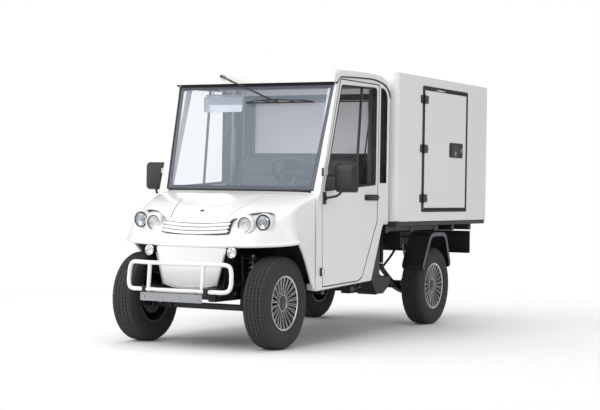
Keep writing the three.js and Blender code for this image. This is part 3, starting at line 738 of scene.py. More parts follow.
ALL_FINISHES = (WHITE, BLACK_STEEL, BLACK_PLASTIC, DARK_TRIM, SEAL, TYRE, COVER, SILVER, STEEL, GREY_PAINT,
                CHROME, WARM_CHROME, BLUE_GLASS, MIRROR, GLASS, SCREEN_GLASS, REAR_PANE_PAINTED_FILL_LIGHT, BORDER_AND_PAINTED_LIP_HIGHLIGHT, LENS,
                RED_LENS, AMBER_LENS, VINYL, VISOR, HEADLINER)


def bolt(radius: float, height: float, axis: str = "x", finish: Finish = STEEL) -> bpy.types.Mesh:
    """Returns a bolt head with its washer, its foot at the origin.

    Args:
        radius: across the corners, in millimetres.
        height: of the head.
        axis: the direction it points in, such as x or -y.
        finish: its finish.
    """
    sign = -1 if axis[0] == "-" else 1
    along = Vector([sign * (a == axis[-1]) for a in "xyz"])
    side = Vector((0, 0, 1)) if axis[-1] != "z" else Vector((0, 1, 0))
    shape = Shape()
    washer = [(0, 0), (1.35 * radius, 0), (1.35 * radius, 0.25 * height), (0, 0.25 * height)]
    head = [(0, 0.2 * height), (radius, 0.2 * height), (radius, 0.9 * height), (0.8 * radius, height),
            (0, height)]
    shape.lathe(metres(washer), (0, 0, 0), along, finish, 12, side)
    shape.lathe(metres(head), (0, 0, 0), along, finish, 6, side)
    return shape.data("bolt", sharp=25)


def bolt_row(name: str, count: int, first: Point, step: Point, axis: str, radius: float = 8,
             body: str = BODY) -> None:
    """Puts a row of bolts on a body; first and step are in millimetres."""
    step_m = tuple(s * MM for s in step)
    mesh = Repeat.row(bolt(radius, radius * 0.8, axis), count, at(*first), step_m)
    show(mesh, name, body)


def block(name: str, low: Point, high: Point, finish: Finish) -> bpy.types.Mesh:
    """Returns one block between two corners in metres, as a template to repeat."""
    shape = Shape()
    shape.box(low, high, finish)
    return shape.data(name)


def prism(outline: Sequence[tuple[float, float]], low: float, high: float, plane: str) -> bpy.types.Mesh:
    """Returns an outline pushed through from low to high, in millimetres, to cut with."""
    shape = Shape()
    shape.slab(outline, low, high, WHITE, plane)
    return shape.data("cutter")


# ---- Wheels --------------------------------------------------------------------------


@dataclass(frozen=True)
class WheelSet:
    """Four tyres with multi-spoke covers, drawn about the origin with the outer face on +X."""

    radius: float = 0.289
    groove: float = 0.281
    pitches: int = 72
    spokes: int = 22
    x: float = 482
    places: tuple[tuple[str, float], ...] = (("front", 0.0), ("rear", REAR_Y))

    def _carcass(self) -> bpy.types.Mesh:
        """The tyre without its tread blocks."""
        side = [(0.169, 0.060), (0.169, 0.0685), (0.174, 0.0728), (0.181, 0.0758), (0.1825, 0.0750),
                (0.184, 0.0765), (0.197, 0.0792), (0.212, 0.0812), (0.226, 0.0823), (0.238, 0.0825),
                (0.2465, 0.0820), (0.248, 0.0808), (0.2495, 0.0816), (0.2590, 0.0790),
                (0.2672, 0.0752), (0.2735, 0.0705), (0.2780, 0.0650), (self.groove, 0.0600)]
        profile = [(r, -x) for r, x in side] + [(r, x) for r, x in reversed(side)]
        shape = Shape()
        shape.lathe(profile + profile[:1], (0, 0, 0), (1, 0, 0), TYRE, 120)
        return shape.data("tyre_carcass", sharp=40)

    def _block(self, shape: Shape, x0: float, x1: float, top0: float, top1: float, start: float,
               span: float, slant: float, foot: float = 0.278) -> None:
        """Adds one tread block.

        Args:
            shape: the mesh to add to.
            x0: inner edge.
            x1: outer edge.
            top0: radius at the inner edge.
            top1: radius at the outer edge.
            start: angle of its start, in degrees.
            span: its length, in degrees.
            slant: how far the outer edge runs ahead, in degrees.
            foot: radius of its foot.
        """
        points = []
        for k in range(3):
            for x, top, lead in ((x0, top0, 0.0), (x1, top1, slant)):
                turn = math.radians(start + lead + span * k / 2)
                for r in (min(foot, top - 0.006), top):
                    points.append((x, r * math.sin(turn), r * math.cos(turn)))
        faces = [(0, 2, 3, 1), (8, 9, 11, 10)]
        for k in (0, 4):
            faces += [(k + 1, k + 3, k + 7, k + 5), (k, k + 1, k + 5, k + 4), (k + 2, k + 6, k + 7, k + 3)]
        shape.faces(points, faces, TYRE, smooth=False)

    def _tread(self) -> bpy.types.Mesh:
        """Five ribs cut into blocks, repeated round the tyre."""
        shape = Shape()
        pitch = 360 / self.pitches
        r = self.radius
        self._block(shape, -0.0115, 0.0115, r, r, 0.0, pitch * 0.9, 0.9)
        for sign in (-1, 1):
            ribs = ((0.0160, 0.0355, r, r - 0.0004, 1.4, 0.9),
                    (0.0405, 0.0585, r - 0.0006, r - 0.003, 0.5, 0.93))
            for x0, x1, top0, top1, start, share in ribs:
                self._block(shape, sign * x0, sign * x1, top0, top1, start, pitch * share, sign * 0.8)
            self._block(shape, sign * 0.0585, sign * 0.0705, r - 0.003, 0.2788, 1.1, pitch * 0.8, 0.0, 0.270)
            self._block(shape, sign * 0.0705, sign * 0.0742, 0.2788, 0.2722, 1.1, pitch * 0.8, 0.0, 0.266)
        template = shape.data("tread_pitch", sharp=20)
        return Repeat.ring(template, self.pitches)

    def _ridge(self, finish: Finish, half: float, drop: float, lift: float) -> bpy.types.Mesh:
        """One pair of spokes.

        Args:
            finish: its finish.
            half: half its width at the rim, in metres.
            drop: depth of its foot below its top.
            lift: how far its top stands out from the spoke line.
        """
        shape = Shape()
        line = ((0.056, 0.0535), (0.085, 0.0555), (0.120, 0.0600), (0.150, 0.0655), (0.163, 0.0672))
        for lean in (-1, 1):
            rings = []
            for r, x in line:
                aside = lean * (0.0029 + 0.0045 * (r - 0.056) / 0.107)
                w = half * (0.55 + 0.45 * (r - 0.056) / 0.107)
                top, foot = x + lift, x + lift - drop
                rings.append([(foot, aside - w * 1.3, r), (top, aside - w, r), (top, aside + w, r),
                              (foot, aside + w * 1.3, r)])
            shape.rings(rings, finish)
        template = shape.data("spoke_pair", sharp=25)
        return Repeat.ring(template, self.spokes)

    def _cover(self) -> bpy.types.Mesh:
        """Rim barrel, dark dish, spokes, bright ring and hub cap."""
        shape = Shape()
        turned = (
            ([(0.0, -0.006), (0.022, -0.006), (0.022, -0.030), (0.046, -0.030), (0.050, 0.012),
              (0.150, 0.018), (0.152, -0.062), (0.160, -0.070), (0.168, -0.070), (0.168, 0.062),
              (0.160, 0.056), (0.148, 0.046), (0.100, 0.034), (0.062, 0.030), (0.0, 0.030)], COVER),
            ([(0.0, 0.0625), (0.016, 0.0620), (0.034, 0.0600), (0.044, 0.0565), (0.0465, 0.0535),
              (0.0465, 0.0300)], COVER),
            ([(0.0465, 0.0530), (0.0475, 0.0565), (0.0500, 0.0580), (0.0530, 0.0570), (0.0540, 0.0530),
              (0.0540, 0.0400)], SILVER),
            ([(0.0540, 0.0460), (0.0600, 0.0480), (0.0600, 0.0310)], COVER),
            ([(0.1600, 0.0560), (0.1605, 0.0680), (0.1640, 0.0712), (0.1700, 0.0718),
              (0.1715, 0.0712)], SILVER),
            ([(0.1715, 0.0712), (0.1765, 0.0716), (0.1793, 0.0700), (0.1790, 0.0670),
              (0.1680, 0.0650)], TYRE),
            ([(0.022, -0.0300), (0.030, -0.0340), (0.040, -0.0330), (0.046, -0.0300)], STEEL),
        )
        for profile, finish in turned:
            shape.lathe(profile, (0, 0, 0), (1, 0, 0), finish, 80)
        mesh = shape.data("cover_turned", outwards=False)
        whole = Shape()
        whole.add(mesh)
        whole.add(self._ridge(COVER, 0.0042, 0.022, -0.0006))
        whole.add(self._ridge(SILVER, 0.0019, 0.002, 0.0012))
        valve = Shape()
        valve.tube([(0.050, 0, 0.148), (0.066, 0, 0.151)], 0.0035, SEAL, 10)
        whole.add(valve.data("valve"))
        return whole.data("wheel_cover_all", sharp=30)

    def build(self) -> None:
        """Puts a tyre and a cover at each corner."""
        tyre = Shape()
        tyre.add(self._carcass())
        tyre.add(self._tread())
        tyre_mesh = tyre.data("tyre_all", outwards=False, sharp=40)
        cover_mesh = self._cover()
        for end, y in self.places:
            for side, sign in SIDES.items():
                place = Matrix.Translation(at(sign * self.x, y, HUB_Z)) @ Matrix.Scale(sign, 4, (1, 0, 0))
                for part, mesh, slot in (("tyre", tyre_mesh, "tyre_rubber"),
                                         ("rim", cover_mesh, "wheel_cover")):
                    node = f"{part}_{end}_{side}"
                    shape = Shape()
                    shape.add(mesh, move=place)
                    made = shape.data(node + "_finished", outwards=False, sharp=38)
                    show(made, node + "_finished", node_body(node), replaces=[node])


# ---- Chassis and running gear --------------------------------------------------------


@dataclass(frozen=True)
class Chassis:
    """Ladder frame, box frame, battery and the bolts and pipes on them."""

    battery: tuple[float, ...] = (-265, 265, 785, 1085, 392, 650)

    def build(self) -> None:
        """Makes the frames and what is fixed to them."""
        dressed("chassis_frame", BLACK_STEEL, 3, segments=3)
        dressed("box_frame", BLACK_STEEL, 2)
        for side, sign in SIDES.items():
            bolt_row(f"rail_bolts_front_{side}", 9, (sign * 250, -290, 340), (0, 190, 0), outward(sign))
            bolt_row(f"rail_bolts_rear_{side}", 8, (sign * 250, 1600, 640), (0, 195, 0), outward(sign))
        self._battery()
        self._pipes()
        self._brackets()

    def _battery(self) -> None:
        """The battery case with its lid, ribs, straps and connectors."""
        x0, x1, y0, y1, z0, z1 = self.battery
        case = Shape()
        case.box(at(x0 + 4, y0 + 4, z0), at(x1 - 4, y1 - 4, z1 - 34), BLACK_PLASTIC)
        case.box(at(x0, y0, z1 - 34), at(x1, y1, z1 - 20), BLACK_PLASTIC)
        case.box(at(x0 + 8, y0 + 8, z1 - 20), at(x1 - 8, y1 - 8, z1 - 8), BLACK_PLASTIC)
        for x in (-160, 160):
            case.box(at(x - 14, y0, z1 - 9), at(x + 14, y1, z1 - 5), STEEL)
        for x in (-60, 60):
            case.tube([at(x, 900, z1 - 10), at(x, 900, z1)], 0.016, SEAL)
        case.piece("battery_case", bevel=0.003, replaces=["battery_pack"])
        rib = block("case_rib", (-0.004, 0, 0), (0.004, 0.0035, (z1 - z0 - 60) * MM), BLACK_PLASTIC)
        row = Repeat.row(rib, 13, at(x0 + 25, y0 + 0.5, z0 + 14), (0.04, 0, 0))
        show(row, "battery_case_ribs")

    def _pipes(self) -> None:
        """Cable conduit on the left rail and a brake pipe on the right one."""
        pipes = Shape()
        left = [at(262, -200, 398), at(262, 300, 398), at(264, 1150, 399), at(262, 1330, 410),
                at(262, 1500, 640), at(262, 1620, 700), at(262, 2250, 704), at(240, 2300, 560),
                at(120, 2310, 400)]
        right = [at(-262, 40, 350), at(-262, 600, 350), at(-262, 1300, 352), at(-262, 1560, 640),
                 at(-262, 2180, 640), at(-270, 2300, 480), at(-330, 2330, 345)]
        pipes.tube(curve_through(left, 10), 0.009, BLACK_PLASTIC, 12)
        pipes.tube(curve_through(right, 10), 0.003, STEEL, 8)
        pipes.piece("cable_conduit_and_brake_pipe")

    def _brackets(self) -> None:
        """Black plates and hangers that show between the cab and the rear wheel."""
        plates = Shape()
        for sign in (1, -1):
            plates.box(at(sign * 422, 1694, 592), at(sign * 560, 1699, 704), BLACK_STEEL)
            plates.box(at(sign * 422, 1694, 592), at(sign * 560, 1730, 597), BLACK_STEEL)
            plates.slab([(1112, 388), (1362, 400), (1358, 745), (1290, 745)], sign * 550, sign * 556,
                        BLACK_PLASTIC, "yz")
            plates.slab([(1400, 384), (1740, 384), (1690, 306), (1610, 264), (1500, 264)],
                        sign * 400, sign * 470, BLACK_PLASTIC, "yz")
            plates.slab([(1440, 714), (2400, 714), (2384, 746), (1440, 746)], sign * 548, sign * 556,
                        BLACK_STEEL, "yz")
            plates.box(at(sign * 252, 1372, 268), at(sign * 318, 1380, 420), BLACK_STEEL)
            plates.box(at(sign * 252, 1372, 268), at(sign * 318, 1470, 276), BLACK_STEEL)
            plates.tube([at(sign * 300, 1400, 300), at(sign * 300, 1560, 322)], 0.024, BLACK_STEEL, 20)
            plates.tube([at(sign * 262, 1520, 322), at(sign * 338, 1520, 322)], 0.017, STEEL, 18)
            plates.slab([(1540, 300), (1590, 300), (1612, 596), (1570, 596)], sign * 262, sign * 274,
                        BLACK_STEEL)
        plates.piece("under_cab_brackets", bevel=0.002)


@dataclass(frozen=True)
class RunningGear:
    """Front axle with springs, steered uprights, tie rod and the driven rear axle."""

    spring_x: float = 320
    kingpin_x: float = 425

    def build(self) -> None:
        """Makes the axles and what turns with them."""
        self._front_axle()
        for side, sign in SIDES.items():
            self._knuckle(side, sign)
        self._tie_rod()
        self._rear_axle()
        for side, sign in SIDES.items():
            self._mudguard(side, sign)

    def _coil(self, shape: Shape, x: float, low: float, high: float, radius: float, wire: float,
              turns: float) -> None:
        """Adds an upright coil spring at x."""
        steps = int(turns * 26)
        path = []
        for k in range(steps + 1):
            turn = 2 * math.pi * turns * k / steps
            path.append(at(x + radius * math.cos(turn), radius * math.sin(turn),
                           low + (high - low) * k / steps))
        shape.tube(path, wire * MM, STEEL, 9)

    def _front_axle(self) -> None:
        """Beam, tower plates, links, coil springs and dampers."""
        frame_part = Shape()
        beam = [(-386, -30), (386, -30), (398, -12), (398, 12), (386, 30), (-386, 30), (-398, 12),
                (-398, -12)]
        frame_part.slab(beam, 227, 263, BLACK_STEEL, "xy")
        for sign in (1, -1):
            frame_part.slab([(-50, 228), (50, 228), (34, 420), (48, 560), (48, 585), (-48, 585), (-48, 560),
                             (-34, 420)], sign * 254, sign * 272, BLACK_STEEL)
            frame_part.box(at(sign * 256, -46, 556), at(sign * 372, 46, 570), BLACK_STEEL)
            frame_part.box(at(sign * 270, -22, 332), at(sign * 396, 22, 350), BLACK_STEEL)
        frame_part.piece("front_axle_frame", bevel=0.004, replaces=["front_axle"],
                         segments=3)
        springs = Shape()
        for sign in (1, -1):
            x = sign * self.spring_x
            self._coil(springs, x, 288, 532, 31, 5.5, 7.5)
            for z, r in ((278, 37), (540, 37)):
                springs.tube([at(x, 0, z - 6), at(x, 0, z + 6)], r * MM, BLACK_STEEL, 28)
            springs.tube([at(x, 0, 262), at(x, 0, 400)], 0.020, BLACK_PLASTIC, 20)
            springs.tube([at(x, 0, 400), at(x, 0, 556)], 0.008, STEEL, 16)
            springs.tube([at(x, 0, 566), at(x, 0, 582)], 0.014, STEEL, 6)
        springs.piece("front_springs")
        bolts = Repeat.row(bolt(8, 7, "-y"), 2, at(-340, -50, 262), (0.68, 0, 0))
        show(bolts, "spring_seat_bolts")

    def _knuckle(self, side: str, sign: int) -> None:
        """Upright with ball joints, brake drum and steering arm."""
        body = "knuckle_" + side
        x = sign * self.kingpin_x
        part = Shape()
        profile = [(0, 203), (14, 203), (19, 208), (19, 222), (14, 228), (13, 262), (17, 268), (17, 310),
                   (13, 318), (14, 352), (19, 358), (19, 371), (14, 376), (0, 376)]
        part.lathe(metres(profile), at(x, 0, 0), (0, 0, 1), BLACK_STEEL, 28, (0, 1, 0))
        drum = [(20, 6), (20, 12), (96, 13), (98, 36), (104, 38), (112, 30), (112, 10), (106, 6), (20, 6)]
        part.lathe(metres(drum), at(x, 0, HUB_Z), (sign, 0, 0), BLACK_STEEL, 48)
        part.tube([at(x, 0, HUB_Z), at(sign * 470, 0, HUB_Z)], 0.0175, STEEL, 20)
        part.slab([(0, 249), (78, 249), (86, 252), (86, 262), (78, 265), (0, 265)], x - 9, x + 9, BLACK_STEEL)
        part.tube([at(x, 75, 240), at(x, 75, 270)], 0.0095, STEEL, 6)
        part.piece(f"knuckle_{side}_finished", body, 0.0015, replaces=["knuckle_" + side])
        ring = Shape()
        for k in range(6):
            turn = 2 * math.pi * k / 6 + 0.3
            move = Matrix.Translation(at(x + sign * 6, 72 * math.sin(turn), HUB_Z + 72 * math.cos(turn)))
            ring.add(bolt(6, 5, outward(-sign)), move=move)
        ring.piece(f"backplate_bolts_{side}", body)

    def _tie_rod(self) -> None:
        """The bar between the steering arms, with boots at its ends."""
        rod = Shape()
        half = self.kingpin_x
        rod.tube([at(-half + 14, 75, 235), at(half - 14, 75, 235)], 0.007, STEEL, 16)
        for sign in (1, -1):
            x = sign * half
            boot = [(0, -9), (11, -9), (12, -3), (11, 2), (8, 9), (0, 9)]
            rod.lathe(metres(boot), at(x, 75, 235), (0, 0, 1), SEAL, 24, (0, 1, 0))
            rod.tube([at(x - sign * 46, 75, 235), at(x - sign * 12, 75, 235)], 0.010, BLACK_STEEL, 6)
        rod.piece("tie_rod_finished", "tie_rod", replaces=["tie_rod"])

    def _leaf_spring(self, shape: Shape, sign: int) -> None:
        """Adds a stack of three leaves with clamps and eyes."""
        for reach, drop in ((490, 0), (360, 14), (230, 26)):
            outline = []
            steps = 16
            for k in range(-steps, steps + 1):
                s = k / steps * reach / 490
                outline.append((REAR_Y + 490 * s, 246 + 205 * abs(s) ** 1.7 - drop + 12))
            outline += [(y, z - 10) for y, z in reversed(outline)]
            shape.slab(outline, sign * 307, sign * 348, BLACK_STEEL)
        for s in (-1, 1):
            y = REAR_Y + s * 490
            shape.tube([at(sign * 303, y, 447), at(sign * 352, y, 447)], 0.020, BLACK_STEEL, 20)
            shape.tube([at(sign * 298, y, 447), at(sign * 357, y, 447)], 0.009, STEEL, 6)
            shape.tube([at(sign * 312, y, 450), at(sign * 316, y, 560)], 0.011, BLACK_STEEL, 12)
        for dy in (-45, 45):
            loop = [at(sign * 302, REAR_Y + dy, 226), at(sign * 302, REAR_Y + dy, 318),
                    at(sign * 327, REAR_Y + dy, 330), at(sign * 353, REAR_Y + dy, 318),
                    at(sign * 353, REAR_Y + dy, 226)]
            shape.tube(curve_through(loop, 5), 0.005, STEEL, 8)

    def _rear_axle(self) -> None:
        """Axle tube, gearbox, finned motor, leaf springs, dampers and brake plates."""
        z = HUB_Z
        axle = Shape()
        profile = [(0, -400), (36, -400), (36, -385), (30, -375), (30, -150), (42, -120), (78, -84),
                   (91, -70), (91, 70), (78, 84), (42, 120), (30, 150), (30, 375), (36, 385), (36, 400),
                   (0, 400)]
        axle.lathe(metres(profile), at(0, REAR_Y, z), (1, 0, 0), BLACK_STEEL, 40)
        for sign in (1, -1):
            plate = [(20, 404), (100, 404), (112, 410), (112, 432), (104, 436), (98, 432), (96, 412),
                     (20, 412)]
            axle.lathe(metres(plate), at(0, REAR_Y, z), (sign, 0, 0), BLACK_STEEL, 48)
            axle.tube([at(sign * 395, REAR_Y, z), at(sign * 470, REAR_Y, z)], 0.0175, STEEL, 20)
            axle.tube([at(sign * 378, 2300, 300), at(sign * 372, 2230, 430)], 0.018, BLACK_PLASTIC, 18)
            axle.tube([at(sign * 372, 2230, 430), at(sign * 366, 2160, 600)], 0.008, STEEL, 12)
            self._leaf_spring(axle, sign)
        motor = [(0, -330), (60, -330), (70, -322), (78, -310), (78, -80), (84, -74), (84, -60), (0, -60)]
        axle.lathe(metres(motor), at(0, REAR_Y, z + 18), (0, 1, 0), BLACK_STEEL, 40,
                   (0, 0, 1))
        axle.piece("rear_axle_finished", replaces=["rear_axle"])
        fin = block("motor_fin", (-0.105, -0.0015, 0.076), (0.105, 0.0015, 0.084), BLACK_STEEL)
        fins = Repeat.ring(fin, 36)
        turned = Matrix.Translation(at(0, 2135, z + 18)) @ Matrix.Rotation(math.pi / 2, 4, "Z")
        fins.transform(turned)
        show(fins, "motor_fins")
        ring = Repeat.ring(self._flange_bolt(), 10)
        ring.transform(Matrix.Translation(at(0, REAR_Y, z)))
        show(ring, "gearbox_bolts")

    def _flange_bolt(self) -> bpy.types.Mesh:
        """One bolt on the gearbox's flange."""
        mesh = bolt(6, 6, "x")
        mesh.transform(Matrix.Translation((0.070, 0, 0.085)))
        return mesh

    def _mudguard(self, side: str, sign: int) -> None:
        """Bent black sheet with a broad rounded flange and a stay."""
        outer = rounded([(2050, 420), (2212, 690), (2502, 690), (2612, 424)], 62, 8)
        inner = rounded([(2058, 420), (2217, 682), (2497, 682), (2604, 424)], 56, 8)
        sheet = Shape()
        sheet.slab(outer + inner[::-1], sign * 404, sign * 572, BLACK_STEEL, "yz")
        sheet.piece(f"mudguard_{side}_finished", replaces=["mudguard_" + side], sharp=60)
        flange = Shape()
        inner = rounded([(2080, 420), (2232, 662), (2482, 662), (2582, 424)], 46, 8)
        # The flange is black steel like the sheet; its lighter slate finish is a painted highlight for the
        # light on the lip.
        flange.slab(outer + inner[::-1], sign * 571, sign * 575, BORDER_AND_PAINTED_LIP_HIGHLIGHT, "yz")
        flange.piece(f"mudguard_flange_{side}", bevel=0.001)
        stay = Shape()
        stay.tube([at(sign * 240, 2210, 640), at(sign * 560, 2214, 676)], 0.007, BLACK_STEEL, 12)
        stay.tube([at(sign * 240, 2506, 640), at(sign * 560, 2500, 676)], 0.007, BLACK_STEEL, 12)
        stay.piece(f"mudguard_stays_{side}")


# ---- Front body ----------------------------------------------------------------------


def mixed(a: float, b: float, t: float) -> float:
    """Returns the value a share t of the way from a to b."""
    return a + (b - a) * t


def smooth_step(a: float, b: float, x: float) -> float:
    """Returns 0 below a, 1 above b and a soft rise between them."""
    t = min(1.0, max(0.0, (x - a) / (b - a)))
    return t * t * (3 - 2 * t)


def nose(u: float, v: float) -> Vector:
    """The front body's outer surface in millimetres.

    Args:
        u: 0 at the right door post, 1 at the left one.
        v: 0 at the lower lip, 1 at the cowl.
    """
    s = 4 * u - 2
    sign = -1 if s < 0 else 1
    a = min(abs(s), 1.0)
    b = max(abs(s) - 1, 0.0)
    turn = a * math.pi / 2
    e = 2 / 1.8
    across = math.sin(turn) ** e
    ahead = max(math.cos(turn), 0.0) ** e
    corner = a ** 6
    lip = Vector((636 * across, 30 - 280 * ahead, mixed(630, 662, a * a)))
    top = Vector((603 * math.sin(turn), 338 - 50 * corner, 983 - 50 * corner))
    low = Vector((lip.x * (1 - 0.07 * a), lip.y + 60 * (1 - a), 800 - 10 * a))
    high = Vector((lip.x * (1 - 0.15 * a), mixed(-170, 120, a ** 3), 880 - 20 * a))
    if b > 0:
        lip = Vector((636 - 40 * b, 30 + 262 * b, 662 - 300 * b + 22 * math.sin(math.pi * b)))
        top = Vector((603 + 4 * b, 288, 933 - 545 * b))
        flat = min(1.0, 3 * b)
        low = low.lerp(lip.lerp(top, 1 / 3), flat)
        high = high.lerp(lip.lerp(top, 2 / 3), flat)
    w = 1 - v
    point = lip * w ** 3 + low * 3 * w * w * v + high * 3 * w * v * v + top * v ** 3
    point.x *= sign
    return point


def crowned(point: Vector) -> Vector:
    """Lifts the middle of the bonnet a little above its sides."""
    inside = smooth_step(0, 34, 118 + 0.30 * (point.y + 150) - abs(point.x))
    ahead = smooth_step(-178, -110, point.y) * (1 - smooth_step(200, 300, point.y))
    front = smooth_step(795, 830, point.z)
    point.z += 5.0 * inside * ahead * front
    return point


@dataclass
class FrontBody:
    """One-piece nose with its bonnet, grille, lamp recesses, rolled lip and chin."""

    columns: int = 128
    rows: int = 46
    thick: float = 12
    slat_tops: tuple[float, ...] = (796.5, 773.5, 750.5, 727.5)
    slat_height: float = 19.5
    skin: BVHTree | None = None

    MOUTH = ((0, 797), (120, 799), (210, 806), (262, 812), (300, 830), (348, 846), (400, 853), (450, 853),
             (488, 840), (505, 808), (502, 770), (484, 746), (432, 730), (380, 718), (330, 710), (250, 704),
             (120, 701), (0, 701))
    LID = ((-200, -150), (-100, -161), (0, -164), (100, -161), (200, -150), (325, 250), (-325, 250))

    def _grid(self, inwards: float, shape: Shape, finish: Finish, thick: float) -> None:
        """Adds a closed shell that starts some millimetres under the surface."""
        nu, nv = self.columns, self.rows
        outer, inner = [], []
        for i in range(nu + 1):
            for j in range(nv + 1):
                u, v = i / nu, j / nv
                du = nose(min(u + 1e-3, 1), v) - nose(max(u - 1e-3, 0), v)
                dv = nose(u, min(v + 1e-3, 1)) - nose(u, max(v - 1e-3, 0))
                normal = du.cross(dv).normalized()
                p = crowned(nose(u, v)) - normal * inwards
                outer.append(at(*p))
                inner.append(at(*(p - normal * thick)))
        n = (nu + 1) * (nv + 1)

        def cell(i: int, j: int) -> int:
            """Returns the number of the point at that column and row."""
            return i * (nv + 1) + j

        faces = []
        for i in range(nu):
            for j in range(nv):
                a, b, c, d = cell(i, j), cell(i + 1, j), cell(i + 1, j + 1), cell(i, j + 1)
                faces.append((a, b, c, d))
                faces.append((n + d, n + c, n + b, n + a))
        rim = [cell(i, 0) for i in range(nu)] + [cell(nu, j) for j in range(nv)]
        rim += [cell(i, nv) for i in range(nu, 0, -1)] + [cell(0, j) for j in range(nv, 0, -1)]
        for k, a in enumerate(rim):
            b = rim[(k + 1) % len(rim)]
            faces.append((b, a, n + a, n + b))
        shape.faces(outer + inner, faces, finish)

    def depth(self, x: float, z: float) -> float:
        """Returns the surface's y in millimetres at a place seen from the front."""
        hit = self.skin.ray_cast(at(x, -900, z), Vector((0, 1, 0)))[0]
        return (hit.y - AXLE_Y) / MM if hit else -100.0

    def height(self, x: float, y: float) -> float:
        """Returns the surface's z in millimetres at a place seen from above."""
        hit = self.skin.ray_cast(at(x, y, 1400), Vector((0, 0, -1)))[0]
        return hit.z / MM if hit else 900.0

    def _mouth(self) -> list[tuple[float, float]]:
        """The outline of grille and lamp recesses in x and z."""
        left = curve_through([(x, 0, z) for x, z in self.MOUTH], 4)
        half = [(p.x, p.z) for p in left]
        return half + [(-x, z) for x, z in reversed(half)][1:-1]

    def _grown_lid(self, gap: float) -> list[tuple[float, float]]:
        """The bonnet's outline in plan, grown by a gap."""
        out = []
        for x, y in self.LID:
            sign = (x > 0) - (x < 0)
            out.append((x + sign * gap, y + (gap if y > 0 else -gap)))
        return out

    def build(self) -> None:
        """Makes the nose, the bonnet and what fills them."""
        whole = Shape()
        self._grid(0, whole, WHITE, self.thick)
        shell = whole.data("nose_whole")
        self.skin = BVHTree.FromPolygons([v.co for v in shell.vertices], [p.vertices for p in shell.polygons])
        self._panels(shell)
        self._recess()
        self._slats()
        self._lip()
        self._trim()
        self._chin()
        for side, sign in SIDES.items():
            self._headlamps(side, sign)
            self._fog_lamp(side, sign)

    def _panels(self, shell: bpy.types.Mesh) -> None:
        """Cuts the shell into the fixed nose and the bonnet."""
        lid = prism(self._grown_lid(0), 600, 1100, "xy")
        opening = prism(self._grown_lid(4.5), 600, 1100, "xy")
        mouth = prism(self._mouth(), -330, 60, "xz")
        posts = Shape()
        for low, high in ((545, 640), (-640, -545)):
            posts.slab([(298, 352), (336, 352), (336, 985), (293, 930)], low, high, WHITE, "yz")
        bonnet = carved(shell.copy(), [lid], "bonnet_finished", "INTERSECT")
        body = carved(shell, [opening, mouth, posts.data("posts")], "front_body_finished")
        for mesh, node in ((bonnet, "bonnet"), (body, "front_body")):
            mesh.set_sharp_from_angle(angle=math.radians(30))
            show(mesh, node + "_finished", node_body(node), 0.0022, 0, [node], 3)

    def _recess(self) -> None:
        """The floor and wall of the mouth behind grille and lamps."""
        inner = Shape()
        self._grid(22, inner, WHITE, 4)
        outline = [(x * 1.012, 775 + (z - 775) * 1.05) for x, z in self._mouth()]
        around = prism(outline, -330, 60, "xz")
        floor = carved(inner.data("recess_inner"), [around], "recess_floor", "INTERSECT")
        show(floor, "lamp_recess_floor")
        wall = Shape()
        loop = self._mouth()
        front = [at(x, self.depth(x, z) + 2, z) for x, z in loop]
        back = [at(x, self.depth(x, z) + 26, z) for x, z in loop]
        wall.rings([front, back], WHITE, caps=False)
        show(thickened(wall.data("recess_line"), "recess_wall", 0.003, 1), "lamp_recess_wall")

    def _slats(self) -> None:
        """Four wide white slats with thin dark gaps before a black screen."""
        grille = Shape()
        steps = 44
        for top in self.slat_tops:
            rings = []
            for k in range(steps + 1):
                x = -244 + 488 * k / steps
                end = min(1.0, (244 - abs(x)) / 14 + 0.25)
                rise = 9 * (x / 200) ** 2
                z1 = top + rise - (1 - end) * self.slat_height / 2
                z0 = top - self.slat_height + rise + (1 - end) * self.slat_height / 2
                y1, y0 = self.depth(x, z1) + 2, self.depth(x, z0) + 2
                ring = [at(x, y0 + 14, z0), at(x, y0 + 2, z0), at(x, mixed(y0, y1, 0.15) - 0.6, z0 + 2.4),
                        at(x, mixed(y0, y1, 0.5) - 2.2, (z0 + z1) / 2),
                        at(x, mixed(y0, y1, 0.85) - 0.6, z1 - 2.4), at(x, y1 + 2, z1), at(x, y1 + 14, z1)]
                rings.append(ring)
            grille.rings(rings, WHITE)
        grille.piece("grille_slats", sharp=50)
        screen = Shape()
        rings = []
        for k in range(steps + 1):
            x = -250 + 500 * k / steps
            rise = 9 * (x / 200) ** 2
            column = []
            for j in range(8):
                z = mixed(703, 800, j / 7) + rise
                column.append(at(x, self.depth(x, min(z, 806)) + 13, z))
            rings.append(column)
        screen.rings(rings, SEAL, caps=False, around=False)
        show(thickened(screen.data("screen"), "grille_screen", 0.002), "grille_screen")

    def _lip(self) -> None:
        """The rolled edge round the nose and down the wheel arches."""
        path = [nose(k / 160, 0) for k in range(161)]
        lip = Shape()
        section = [(0.0125 * math.cos(t), 0.0075 + 0.0125 * math.sin(t))
                   for t in (2 * math.pi * k / 14 for k in range(14))]
        lip.tube([at(p.x * 0.992, p.y + (5 if abs(p.x) < 600 else 2), p.z) for p in path], 0, WHITE,
                 section=section, up=(0, 0, 1))
        lip.piece("nose_lip", sharp=50)
        lining = Shape()
        for sign in (1, -1):
            rings = []
            for k in range(25):
                u = 0.5 + sign * (0.16 + 0.34 * k / 24)
                p = nose(u, 0)
                back = min(p.y + 41, 298)
                rings.append([at(p.x * 0.95, back, p.z + 35), at(p.x * 0.95, back, p.z + 38),
                              at(sign * 252, max(back, -60), p.z + 42),
                              at(sign * 252, max(back, -60), p.z + 39)])
            lining.rings(rings, SEAL)
        lining.piece("arch_lining", sharp=50)

